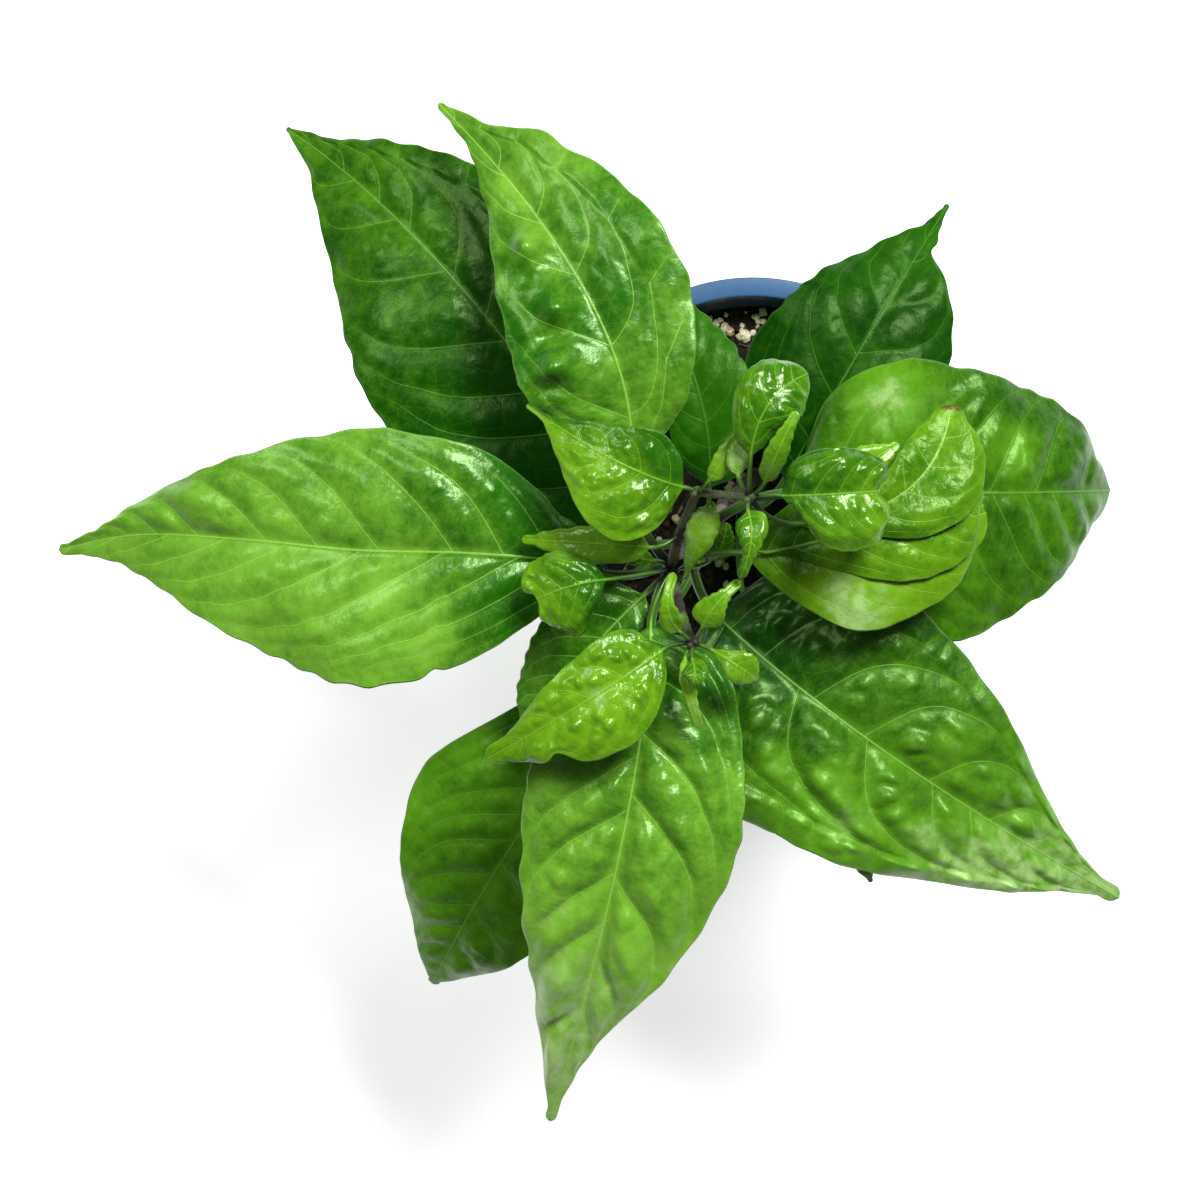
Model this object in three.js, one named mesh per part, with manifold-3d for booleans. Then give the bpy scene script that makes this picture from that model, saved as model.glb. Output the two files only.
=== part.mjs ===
// A young chilli pepper plant standing in a blue plastic nursery pot, in millimetres.
// The origin is the centre of the pot's base on the ground, +Z is up and +Y is the far side.
import * as THREE from 'three';
import { mergeVertices } from 'three/addons/utils/BufferGeometryUtils.js';
import Module from 'manifold-3d';

const wasm = await Module();
wasm.setup();

// Driving dimensions of the pot
const POT_HEIGHT = 92;
const RIM_RADIUS = 52.5;
const BASE_RADIUS = 36;
const LIP_WIDTH = 5;
const SKIRT_DEPTH = 12;
const WALL = 1.3;
const FLOOR = 1.8;
const DRAIN_HOLES = 8;
const DRAIN_RADIUS = 3.5;
const DRAIN_CIRCLE = 28;

// Driving dimensions of the potting mix
const CLEARANCE = 0.3;
const SOIL_DROP = 14;
const SOIL_RELIEF = 1.1;
const PERLITE_GRAINS = 28;
const PERLITE_RADIUS = 1.5;

// Driving dimensions of the plant
const BLADE_THICKNESS = 0.7;
const KNOT_SWELL = 1.12;
const STALK_BEND = 0.45;
const STEM_RADIUS = 2.5;
const STEM_BOTTOM = 56;
const STEM_FOOT = [0.5, 0.5];

// Nodes of the stem, where leaves and side shoots grow: place and stem radius there
const NODES = {
  soil: { at: [0.5, 0.5, 80], r: STEM_RADIUS },
  first: { at: [-1.5, -2, 104], r: 2.4 },
  second: { at: [-4.5, -5.5, 122], r: 2.3 },
  third: { at: [-8, -10, 138], r: 2.2 },
  fourth: { at: [-11, -14.5, 152], r: 2.0 },
  fork: { at: [-14.3, -18.6, 165], r: 1.8 },
  northLow: { at: [-11.5, -10, 178], r: 1.4 },
  north: { at: [-6.7, -0.2, 190], r: 1.3 },
  east: { at: [5.4, -1.2, 198], r: 1.1 },
  southLow: { at: [-11.5, -26.5, 178], r: 1.3 },
  south: { at: [-7.4, -33.6, 191], r: 1.2 },
};

// Routes of the stem and its side shoots, node by node, with the radius of each run
const RUNS = [
  { nodes: ['soil', 'first', 'second'], radius: 2.3 },
  { nodes: ['second', 'third', 'fourth'], radius: 2.1 },
  { nodes: ['fourth', 'fork'], radius: 1.9 },
  { nodes: ['fork', 'northLow', 'north'], radius: 1.25 },
  { nodes: ['north', 'east'], radius: 0.95 },
  { nodes: ['fork', 'southLow', 'south'], radius: 1.15 },
];

// Young buds stand in pairs at the growing tips
const BUDS = ['north', 'east', 'south'].flatMap((name) => [-1, 1].map((side) => {
  const [x, y, z] = NODES[name].at;
  return { centre: new THREE.Vector3(x + side * 0.6, y + side * 0.4, z + NODES[name].r), radius: 1.1 };
}));

const OLD_GREEN = 0x2f6a1c;
const DEEP_GREEN = 0x1f4d1c;
const MID_GREEN = 0x4a8a22;
const YOUNG_GREEN = 0x74a62c;

// Half widths of a blade are given at these shares of its length, as seen from its base
const STATIONS = [0, 0.08, 0.25, 0.45, 0.65, 0.85, 1];
const OVAL = [0.6, 0.95, 1, 0.85, 0.5];
const SPOON = [0.25, 0.55, 0.9, 1, 0.75];
const scaled = (shape, half) => shape.map((share) => share * half);

// One entry a leaf. Its stalk grows from a node of the stem, and its midrib runs from base over
// mid to tip. Left and right are the half widths at the stations. Fold lifts both halves, in
// degrees; cup bends the margins down, in millimetres; wave is the height and number of the
// margin's waves.
const LEAVES = [
  {
    name: 'leaf_west', from: 'fourth', base: [-29.5, -20, 167], mid: [-93, -14, 176], tip: [-166, -16, 150],
    left: [10, 24.5, 30.5, 22, 6], right: [12, 25, 28, 21.5, 10.5],
    fold: 12, cup: 6, wave: [1.8, 3], colour: MID_GREEN,
  },
  {
    name: 'leaf_northwest', from: 'third', base: [-24, -11, 147], mid: [-65.5, 47, 154], tip: [-112, 87, 134],
    left: [21, 35, 34, 24, 9], right: [20, 32, 31, 24, 10],
    fold: 8, cup: 5, wave: [1.5, 2.5], colour: OLD_GREEN,
  },
  {
    name: 'leaf_north', from: 'fork', base: [-23, 4, 176], mid: [-31, 42, 184], tip: [-68.5, 88.5, 166],
    left: [11, 21, 22, 16.5, 6], right: [5, 15, 23, 20.5, 11],
    fold: 14, cup: 6, wave: [1.4, 3.5], colour: MID_GREEN,
  },
  {
    name: 'leaf_north_inner', from: 'third', base: [-6, 0, 160], mid: [-8.5, 23, 165], tip: [-20.5, 47, 158],
    left: scaled(OVAL, 9), right: scaled(OVAL, 12.5),
    fold: 8, cup: 2, wave: [0.6, 2], colour: DEEP_GREEN,
  },
  {
    name: 'leaf_northeast', from: 'second', base: [11, 1.5, 144], mid: [30, 34.5, 150], tip: [49, 67, 134],
    left: [12, 22.5, 21.5, 15.5, 5], right: [10, 19, 20.5, 17, 4],
    fold: 8, cup: 5, wave: [1.5, 2.5], colour: DEEP_GREEN,
  },
  {
    name: 'leaf_east', from: 'third', base: [12.5, -1.5, 150], mid: [56, -1, 164], tip: [88, -1, 136],
    left: [22, 30.5, 28, 23.5, 16], right: [20, 31, 33.5, 27, 15],
    fold: 5, cup: 7, wave: [1.4, 2.5], colour: OLD_GREEN,
  },
  {
    name: 'leaf_southeast', from: 'fourth', base: [-5, -29, 160], mid: [34, -59.5, 168], tip: [91.5, -99, 138],
    left: [20, 30, 30.5, 23, 9], right: [20, 32, 30, 23.5, 9.5],
    fold: 10, cup: 6, wave: [1.6, 3.5], colour: OLD_GREEN,
  },
  {
    name: 'leaf_south', from: 'fork', base: [-18.5, -31.5, 172], mid: [-24.5, -81, 180], tip: [-45.5, -155, 147],
    left: [16, 22.5, 26, 20, 5.5], right: [10, 20, 24, 18.5, 7.5],
    fold: 10, cup: 5, wave: [1.4, 3], colour: MID_GREEN,
  },
  {
    name: 'leaf_southwest', from: 'second', base: [-22, -38, 134], mid: [-57.5, -91, 134], tip: [-81.5, -131, 108],
    left: [10, 18, 21, 17.5, 8], right: [6, 17, 28.5, 22.5, 9.5],
    fold: 8, cup: 5, wave: [1.4, 3], colour: OLD_GREEN,
  },
  {
    name: 'leaf_southeast_low', from: 'first', base: [2, -36, 118], mid: [17.5, -72, 122], tip: [32, -102, 106],
    left: scaled(OVAL, 16), right: scaled(OVAL, 17),
    fold: 8, cup: 4, wave: [1.0, 2.5], colour: DEEP_GREEN,
  },
  {
    name: 'leaf_southwest_inner', from: 'fork', base: [-21, -25, 163], mid: [-36, -41, 164], tip: [-51, -61, 155],
    left: scaled(OVAL, 15), right: scaled(OVAL, 13),
    fold: 10, cup: 2, wave: [0.6, 2], colour: MID_GREEN,
  },
  {
    name: 'leaf_east_back', from: 'fork', base: [3.5, -14, 182], mid: [29, -12, 187], tip: [60, -4.5, 174],
    left: [6, 12, 15, 13, 8], right: [4, 13, 18.5, 17.5, 10],
    fold: 8, cup: 4, wave: [1.0, 2], colour: YOUNG_GREEN,
  },
  {
    name: 'leaf_east_middle', from: 'east', base: [9.5, -13.5, 189], mid: [33.5, -8, 193], tip: [57.5, -2, 183],
    left: [3, 7, 9, 8, 5], right: [2, 4.5, 10.5, 13, 11],
    fold: 10, cup: 3, wave: [0.8, 2], colour: YOUNG_GREEN,
  },
  {
    name: 'leaf_east_front', from: 'east', base: [15, -7, 196.5], mid: [40, -3, 198.5], tip: [49, 18.5, 191],
    left: [2, 5, 7.5, 8, 5], right: [2, 4.5, 9, 11, 5.5],
    fold: 14, cup: 2, wave: [0.6, 2], colour: YOUNG_GREEN,
  },
  {
    name: 'shoot_leaf_southwest', from: 'south', base: [-14, -35, 194], mid: [-29.5, -45.5, 199], tip: [-54, -60.5, 190],
    left: [5, 11, 13.5, 12, 6], right: [7.5, 10, 9.5, 7.5, 3.5],
    fold: 12, cup: 3, wave: [0.8, 3], colour: YOUNG_GREEN,
  },
  {
    name: 'shoot_leaf_northwest', from: 'north', base: [-9.5, 1, 194], mid: [-25, 7.5, 200], tip: [-44.5, 19, 190],
    left: [10, 16, 15, 10, 2.5], right: [6, 9.5, 8.5, 5.5, 1.5],
    fold: 10, cup: 3, wave: [0.8, 2.5], colour: YOUNG_GREEN,
  },
  {
    name: 'shoot_leaf_west_cupped', from: 'fork', base: [-27.5, -20, 186], mid: [-37, -22, 189], tip: [-47.5, -27, 184],
    left: [4.5, 8.5, 11, 11, 8], right: [3.5, 6.5, 8.5, 8, 5],
    fold: -8, cup: 3, wave: [0.9, 2], colour: YOUNG_GREEN,
  },
  {
    name: 'shoot_leaf_west_narrow', from: 'northLow', base: [-18, -13, 181], mid: [-31.5, -12, 184], tip: [-47.5, -11.5, 179],
    left: scaled(OVAL, 4), right: scaled(OVAL, 3.4),
    fold: 10, cup: 1, wave: [0.3, 2], colour: YOUNG_GREEN,
  },
  {
    name: 'shoot_leaf_north_round', from: 'east', base: [6, 8, 207], mid: [10.5, 19.5, 213], tip: [16, 27, 205],
    left: scaled(OVAL, 8), right: scaled(OVAL, 8),
    fold: 10, cup: 3, wave: [0.6, 2], colour: YOUNG_GREEN,
  },
  {
    name: 'shoot_leaf_north_narrow', from: 'north', base: [-3.5, 2.5, 195], mid: [0, 7.5, 199], tip: [3, 13.5, 199],
    left: scaled(OVAL, 1.9), right: scaled(OVAL, 1.9),
    fold: 14, cup: 0.4, wave: [0, 1], colour: YOUNG_GREEN,
  },
  {
    name: 'shoot_leaf_east', from: 'east', base: [12.5, -0.5, 203], mid: [23.5, 0, 207], tip: [36.5, 1, 201],
    left: [5.5, 9, 9.8, 9.5, 6.8], right: [3, 8, 12, 12.5, 9.5],
    fold: 12, cup: 3, wave: [0.8, 2.5], colour: YOUNG_GREEN,
  },
  {
    name: 'shoot_leaf_northeast_narrow', from: 'east', base: [9, 2.5, 204.5], mid: [12, 9, 212.5], tip: [16, 17.5, 214],
    left: scaled(OVAL, 2.6), right: scaled(OVAL, 2.4),
    fold: 16, cup: 0.5, wave: [0, 1], colour: YOUNG_GREEN,
  },
  {
    name: 'shoot_leaf_south_narrow', from: 'east', base: [5.2, -4, 201], mid: [6, -10.5, 204], tip: [3.5, -18.5, 200],
    left: scaled(SPOON, 3.6), right: scaled(SPOON, 3.2),
    fold: 12, cup: 0.8, wave: [0.2, 2], colour: YOUNG_GREEN,
  },
  {
    name: 'shoot_leaf_north_curled', from: 'east', base: [3, 4, 200], mid: [3.4, 8.3, 203], tip: [5.6, 12, 202],
    left: scaled(OVAL, 2.8), right: scaled(OVAL, 2.8),
    fold: 25, cup: 0.6, wave: [0.2, 2], colour: YOUNG_GREEN,
  },
  {
    name: 'shoot_leaf_east_small', from: 'east', base: [18.5, 0.5, 195], mid: [28, 5, 198], tip: [37.5, 10.5, 196],
    left: scaled(OVAL, 4.5), right: scaled(OVAL, 4.5),
    fold: 12, cup: 0.8, wave: [0.3, 2], colour: YOUNG_GREEN,
  },
  {
    name: 'shoot_leaf_centre', from: 'fork', base: [-10.2, -19.5, 171], mid: [-7, -11, 182], tip: [-3.5, -2.5, 188],
    left: scaled(SPOON, 3.4), right: scaled(SPOON, 3.8),
    fold: 12, cup: 0.8, wave: [0.3, 2], colour: YOUNG_GREEN,
  },
  {
    name: 'shoot_leaf_centre_small', from: 'fork', base: [-4.5, -16, 172], mid: [-2, -12.3, 176], tip: [-1, -7.5, 177],
    left: scaled(OVAL, 2.8), right: scaled(OVAL, 2.8),
    fold: 14, cup: 0.5, wave: [0, 1], colour: MID_GREEN,
  },
  {
    name: 'shoot_leaf_west_tiny', from: 'fork', base: [-18, -16.5, 171], mid: [-22, -15.5, 174], tip: [-27.5, -13, 174],
    left: scaled(OVAL, 2.2), right: scaled(OVAL, 2.2),
    fold: 14, cup: 0.4, wave: [0, 1], colour: YOUNG_GREEN,
  },
  {
    name: 'south_shoot_leaf_north', from: 'south', base: [-5, -29.5, 194.5], mid: [-1.8, -24.5, 198], tip: [3.3, -19.5, 196],
    left: scaled(OVAL, 4.2), right: scaled(OVAL, 4.2),
    fold: 12, cup: 0.8, wave: [0.2, 2], colour: YOUNG_GREEN,
  },
  {
    name: 'south_shoot_leaf_east', from: 'south', base: [-3, -35, 193], mid: [2.5, -38, 196], tip: [7, -41.5, 192],
    left: scaled(SPOON, 3.9), right: scaled(SPOON, 3.9),
    fold: 16, cup: 0.8, wave: [0.3, 2], colour: YOUNG_GREEN,
  },
  {
    name: 'south_shoot_leaf_northwest', from: 'south', base: [-10, -30.5, 197], mid: [-12, -25, 203], tip: [-11, -17.5, 201],
    left: scaled(OVAL, 3), right: scaled(OVAL, 3),
    fold: 30, cup: 0.6, wave: [0.2, 2], colour: YOUNG_GREEN,
  },
  {
    name: 'south_shoot_leaf_south', from: 'south', base: [-9, -37, 193], mid: [-8, -43.5, 195.5], tip: [-6, -52.5, 191],
    left: scaled(OVAL, 1.7), right: scaled(OVAL, 1.7),
    fold: 24, cup: 0.3, wave: [0, 1], colour: YOUNG_GREEN,
  },
  {
    name: 'south_shoot_leaf_tiny', from: 'south', base: [-7, -37, 197], mid: [-6.3, -39.5, 200.5], tip: [-7, -42, 200],
    left: scaled(OVAL, 3), right: scaled(OVAL, 3),
    fold: 14, cup: 0.5, wave: [0, 1], colour: YOUNG_GREEN,
  },
];

// Turns a BufferGeometry into a manifold solid for joining and cutting
function solid(geometry) {
  const bare = geometry.clone();
  bare.deleteAttribute('normal');
  bare.deleteAttribute('uv');
  const merged = mergeVertices(bare, 1e-5);
  return new wasm.Manifold(new wasm.Mesh({
    numProp: 3,
    vertProperties: new Float32Array(merged.attributes.position.array),
    triVerts: new Uint32Array(merged.index.array),
  }));
}

// Turns a manifold solid back into a BufferGeometry
function geometryOf(body) {
  const mesh = body.getMesh();
  const geometry = new THREE.BufferGeometry();
  geometry.setAttribute('position', new THREE.BufferAttribute(new Float32Array(mesh.vertProperties), 3));
  geometry.setIndex(new THREE.BufferAttribute(new Uint32Array(mesh.triVerts), 1));
  geometry.computeVertexNormals();
  return geometry;
}

function namedMesh(name, geometry, colour, roughness) {
  const material = new THREE.MeshStandardMaterial({ color: colour, roughness, metalness: 0 });
  const mesh = new THREE.Mesh(geometry, material);
  mesh.name = name;
  return mesh;
}

// A small seeded random number source, the same on every run
function seededRandom(seed) {
  let state = seed;
  return () => {
    state = (state * 1664525 + 1013904223) % 4294967296;
    return state / 4294967296;
  };
}

const vector = (values) => new THREE.Vector3(...values);
const curveThrough = (places) => new THREE.CatmullRomCurve3(places.map(vector));
const smooth = (value) => THREE.MathUtils.smoothstep(value, 0, 1);

// Radius of the pot wall's outer face at a height
function wallRadius(height) {
  const top = RIM_RADIUS - LIP_WIDTH + WALL;
  return BASE_RADIUS + (top - BASE_RADIUS) * (height / POT_HEIGHT);
}

function latheAboutZ(outline, segments) {
  const points = outline.map(([radius, height]) => new THREE.Vector2(radius, height));
  return new THREE.LatheGeometry(points, segments).rotateX(Math.PI / 2);
}

// The pot is one moulding: floor, tapered wall and a turned-out lip with a hanging skirt
function potGeometry() {
  const skirtFoot = POT_HEIGHT - SKIRT_DEPTH;
  const lipUnder = POT_HEIGHT - WALL;
  const inner = (height) => wallRadius(height) - WALL;
  const outline = [
    [0, 0],
    [BASE_RADIUS - 1, 0],
    [wallRadius(1), 1],
    [wallRadius(skirtFoot), skirtFoot],
    [wallRadius(lipUnder), lipUnder],
    [RIM_RADIUS - WALL, lipUnder],
    [RIM_RADIUS - WALL - 0.5, skirtFoot],
    [RIM_RADIUS - 0.5, skirtFoot],
    [RIM_RADIUS, POT_HEIGHT - 0.6],
    [RIM_RADIUS - 0.6, POT_HEIGHT],
    [inner(POT_HEIGHT) + 0.5, POT_HEIGHT],
    [inner(POT_HEIGHT - 0.5), POT_HEIGHT - 0.5],
    [inner(FLOOR), FLOOR],
    [0, FLOOR],
  ];
  let pot = solid(latheAboutZ(outline, 48));
  for (let i = 0; i < DRAIN_HOLES; i++) {
    const angle = ((i + 0.5) / DRAIN_HOLES) * Math.PI * 2;
    const hole = new THREE.CylinderGeometry(DRAIN_RADIUS, DRAIN_RADIUS, FLOOR * 3, 12).rotateX(Math.PI / 2);
    hole.translate(DRAIN_CIRCLE * Math.cos(angle), DRAIN_CIRCLE * Math.sin(angle), FLOOR / 2);
    pot = pot.subtract(solid(hole));
  }
  return geometryOf(pot);
}

// Height of the uneven surface of the potting mix
function soilHeight(x, y) {
  const rolls = Math.sin(x * 0.21 + 0.8) * Math.cos(y * 0.17 - 0.4);
  const lumps = Math.sin(x * 0.63 + y * 0.41) * Math.cos(y * 0.57 - x * 0.22);
  return POT_HEIGHT - SOIL_DROP + SOIL_RELIEF * (0.6 * rolls + 0.4 * lumps);
}

// The potting mix fills the pot as one body, with perlite grains standing out of its top
function soilGeometry() {
  const top = POT_HEIGHT - SOIL_DROP;
  const side = (height) => wallRadius(height) - WALL - CLEARANCE;
  const bottom = FLOOR + CLEARANCE;
  const rings = 7;
  const outline = [[0, bottom], [side(bottom), bottom]];
  for (let i = 0; i <= rings; i++) outline.push([side(top) * (1 - i / rings), top]);
  const body = latheAboutZ(outline, 32);
  const place = body.attributes.position;
  for (let i = 0; i < place.count; i++) {
    if (place.getZ(i) < top - 1e-3) continue;
    const x = place.getX(i);
    const y = place.getY(i);
    const atWall = smooth((Math.hypot(x, y) / side(top) - 0.9) / 0.1);
    place.setZ(i, top + (soilHeight(x, y) - top) * (1 - atWall));
  }
  let soil = solid(body);
  const random = seededRandom(7);
  for (let i = 0; i < PERLITE_GRAINS; i++) {
    const reach = Math.sqrt(0.02 + 0.9 * random()) * (side(top) - 2 * PERLITE_RADIUS);
    const angle = random() * Math.PI * 2;
    const radius = PERLITE_RADIUS * (0.6 + 0.5 * random());
    const grain = new THREE.IcosahedronGeometry(radius, 0);
    grain.rotateX(angle * 3).scale(1, 1, 0.8);
    const x = reach * Math.cos(angle);
    const y = reach * Math.sin(angle);
    if (Math.hypot(x - STEM_FOOT[0], y - STEM_FOOT[1]) < STEM_RADIUS + 3 * PERLITE_RADIUS) continue;
    soil = soil.add(solid(grain.translate(x, y, soilHeight(x, y))));
  }
  const holeTop = POT_HEIGHT;
  const holeRadius = (STEM_RADIUS + CLEARANCE) / Math.cos(Math.PI / 16);
  const hole = new THREE.CylinderGeometry(holeRadius, holeRadius, holeTop - STEM_BOTTOM + CLEARANCE, 16);
  hole.rotateX(Math.PI / 2);
  hole.translate(...STEM_FOOT, (holeTop + STEM_BOTTOM - CLEARANCE) / 2);
  return geometryOf(soil.subtract(solid(hole)));
}

function tubeAlong(points, radius, sides, steps) {
  const section = new THREE.Shape();
  for (let i = 0; i < sides; i++) {
    const angle = (i / sides) * Math.PI * 2;
    const x = radius * Math.cos(angle);
    const y = radius * Math.sin(angle);
    if (i === 0) section.moveTo(x, y);
    else section.lineTo(x, y);
  }
  return new THREE.ExtrudeGeometry(section, { steps, bevelEnabled: false, extrudePath: curveThrough(points) });
}

// The stem and its side shoots are one body: tubes between swollen nodes, with buds at the tips
function stemGeometry() {
  const footHeight = NODES.soil.at[2] - STEM_BOTTOM;
  const foot = new THREE.CylinderGeometry(STEM_RADIUS, STEM_RADIUS, footHeight, 16).rotateX(Math.PI / 2);
  foot.translate(...STEM_FOOT, STEM_BOTTOM + footHeight / 2);
  let stem = solid(foot);
  for (const { nodes, radius } of RUNS) {
    const points = nodes.map((name) => NODES[name].at);
    stem = stem.add(solid(tubeAlong(points, radius, 7, 3 * (points.length - 1))));
  }
  for (const { at, r } of Object.values(NODES)) {
    const knot = new THREE.SphereGeometry(r * KNOT_SWELL, 7, 4).rotateX(Math.PI / 2);
    stem = stem.add(solid(knot.translate(...at)));
  }
  for (const { centre, radius } of BUDS) {
    const bud = new THREE.IcosahedronGeometry(radius, 0).scale(0.8, 0.8, 1.4);
    stem = stem.add(solid(bud.translate(centre.x, centre.y, centre.z)));
  }
  return geometryOf(stem);
}

// Half width of a blade at a share t of its length: a smooth curve through the station values
function halfWidth(values, t) {
  const heights = [0, ...values, 0];
  const slope = (i) => {
    const [low, high] = [Math.max(i - 1, 0), Math.min(i + 1, STATIONS.length - 1)];
    return (heights[high] - heights[low]) / (STATIONS[high] - STATIONS[low]);
  };
  const i = Math.min(STATIONS.findLastIndex((station) => station <= t), STATIONS.length - 2);
  const span = STATIONS[i + 1] - STATIONS[i];
  const u = (t - STATIONS[i]) / span;
  const bend = (1 - u) * slope(i) - u * slope(i + 1) - (1 - 2 * u) * ((heights[i + 1] - heights[i]) / span);
  return THREE.MathUtils.lerp(heights[i], heights[i + 1], u) + u * (1 - u) * span * bend;
}

// A curve of second degree from start to end that passes through the middle point half way
function arcThrough(start, middle, end) {
  const control = middle.clone().multiplyScalar(2).addScaledVector(start, -0.5).addScaledVector(end, -0.5);
  return new THREE.QuadraticBezierCurve3(start, control, end);
}

// The stem as a chain of balls, for keeping leaf stalks just clear of it
const STEM_BALLS = [
  ...BUDS,
  ...RUNS.flatMap(({ nodes, radius }) => {
    const centres = curveThrough(nodes.map((name) => NODES[name].at)).getSpacedPoints(24 * nodes.length);
    return centres.map((centre) => ({ centre, radius }));
  }),
  ...Object.values(NODES).map(({ at, r }) => ({ centre: vector(at), radius: r * KNOT_SWELL })),
];

function gapToStem(point) {
  return Math.min(...STEM_BALLS.map(({ centre, radius }) => point.distanceTo(centre) - radius));
}

// Share of the stalk's curve at which its round foot first stands clear of the stem
function stalkFoot(stalk, radius) {
  const steps = 200;
  for (let k = 0; k < steps; k++) {
    const way = stalk.getTangent(k / steps);
    const centre = stalk.getPoint(k / steps);
    const side = new THREE.Vector3(0, 0, 1).cross(way).normalize();
    const rim = Array.from({ length: 8 }, (_, i) => {
      return centre.clone().addScaledVector(side.clone().applyAxisAngle(way, (i * Math.PI) / 4), radius);
    });
    if (Math.min(...[centre, ...rim].map(gapToStem)) > CLEARANCE) return k / steps;
  }
  throw new Error('a stalk never leaves the stem');
}

// The stalk leaves its node of the stem and runs smoothly into the midrib
function stalkCurve(node, blade) {
  const centre = vector(node.at);
  const base = blade.getPoint(0);
  const elbow = base.clone().addScaledVector(blade.getTangent(0), -STALK_BEND * base.distanceTo(centre));
  return new THREE.QuadraticBezierCurve3(centre, elbow, base);
}

const isLarge = (leaf) => Math.max(...leaf.left) + Math.max(...leaf.right) > 20;

// Cross sections of one leaf from the foot of its stalk to its tip
function leafSections(leaf) {
  const blade = arcThrough(vector(leaf.base), vector(leaf.mid), vector(leaf.tip));
  const breadth = Math.max(...leaf.left) + Math.max(...leaf.right);
  const stalkRadius = THREE.MathUtils.clamp(breadth / 45, 0.5, 1.15);
  const stalk = stalkCurve(NODES[leaf.from], blade);
  const foot = stalkFoot(stalk, Math.hypot(stalkRadius, BLADE_THICKNESS / 2));
  const stalkSteps = isLarge(leaf) ? 4 : 2;
  const bladeSteps = isLarge(leaf) ? 11 : 7;
  const sections = [];
  for (let i = 0; i < stalkSteps; i++) {
    const share = THREE.MathUtils.lerp(foot, 1, i / stalkSteps);
    sections.push({ at: stalk.getPoint(share), way: stalk.getTangent(share), t: 0, rib: stalkRadius, stalk: 1 });
  }
  for (let i = 0; i <= bladeSteps; i++) {
    const t = i / bladeSteps;
    const rib = THREE.MathUtils.lerp(stalkRadius, BLADE_THICKNESS / 2, Math.min(1, t * 1.1));
    sections.push({ at: blade.getPoint(t), way: blade.getTangent(t), t, rib, stalk: i === 0 ? 1 : 0 });
  }
  return sections;
}

// Height of the blade over its midrib at a place across it, from -1 on the right to 1 on the left
function bladeLift(leaf, half, t, across) {
  const share = Math.abs(across);
  const full = half / Math.max(...leaf.left, ...leaf.right);
  const [height, count] = leaf.wave;
  const phase = across > 0 ? 0 : 1.9;
  const ripple = height * share * share * Math.sin(2 * Math.PI * count * t + phase);
  const rise = half * share * Math.tan(THREE.MathUtils.degToRad(leaf.fold));
  return rise - leaf.cup * full * share * share + ripple * smooth(full * 2);
}

// Each leaf is one body: a round stalk that flattens into a waved blade with a midrib beneath
function leafGeometry(leaf) {
  const sections = leafSections(leaf);
  const columns = isLarge(leaf) ? 6 : 4;
  const rows = sections.length - 1;
  const grid = sections.map((section) => {
    const side = new THREE.Vector3(0, 0, 1).cross(section.way).normalize();
    const normal = section.way.clone().cross(side);
    return Array.from({ length: columns + 1 }, (_, j) => {
      const across = (j / columns) * 2 - 1;
      const half = halfWidth(across > 0 ? leaf.left : leaf.right, section.t);
      const point = section.at.clone().addScaledVector(side, across * Math.max(half, section.rib));
      return point.addScaledVector(normal, bladeLift(leaf, half, section.t, across));
    });
  });
  const at = (i, j) => grid[THREE.MathUtils.clamp(i, 0, rows)][THREE.MathUtils.clamp(j, 0, columns)];
  const edge = BLADE_THICKNESS / 2;
  const top = [];
  const under = [];
  for (let i = 0; i <= rows; i++) {
    for (let j = 0; j <= columns; j++) {
      const along = at(i + 1, j).clone().sub(at(i - 1, j));
      const over = at(i, j + 1).clone().sub(at(i, j - 1));
      const normal = along.cross(over).normalize();
      const across = (j / columns) * 2 - 1;
      const round = Math.max(0, Math.sqrt(1 - across * across) * sections[i].rib - edge);
      const ribbed = j === columns / 2 ? round : 0;
      top.push(at(i, j).clone().addScaledVector(normal, edge + round * sections[i].stalk));
      under.push(at(i, j).clone().addScaledVector(normal, -edge - Math.max(round * sections[i].stalk, ribbed)));
    }
  }
  return closedShell(top, under, rows, columns);
}

// Closes two alike grids of points into one body, both split the same way
function closedShell(top, under, rows, columns) {
  const count = top.length;
  const index = (i, j) => i * (columns + 1) + j;
  const faces = [];
  const wall = (a, b) => faces.push(b, a, a + count, b, a + count, b + count);
  for (let i = 0; i < rows; i++) {
    for (let j = 0; j < columns; j++) {
      const [a, b, c, d] = [index(i, j), index(i + 1, j), index(i + 1, j + 1), index(i, j + 1)];
      faces.push(a, b, c, a, c, d);
      faces.push(a + count, c + count, b + count, a + count, d + count, c + count);
    }
    wall(index(i, 0), index(i + 1, 0));
    wall(index(i + 1, columns), index(i, columns));
  }
  for (let j = 0; j < columns; j++) {
    wall(index(rows, j), index(rows, j + 1));
    wall(index(0, j + 1), index(0, j));
  }
  const geometry = new THREE.BufferGeometry().setFromPoints([...top, ...under]);
  geometry.setIndex(faces);
  geometry.computeVertexNormals();
  return geometry;
}

const plant = new THREE.Group();
plant.add(namedMesh('pot', potGeometry(), 0x4a7ab0, 0.45));
plant.add(namedMesh('soil', soilGeometry(), 0x1d1712, 0.95));
plant.add(namedMesh('stem', stemGeometry(), 0x4c5a2c, 0.6));
for (const leaf of LEAVES) plant.add(namedMesh(leaf.name, leafGeometry(leaf), leaf.colour, 0.5));

export default plant;
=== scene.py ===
import math
import random

import bmesh
import bpy
from mathutils import Matrix, Vector, noise


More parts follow.
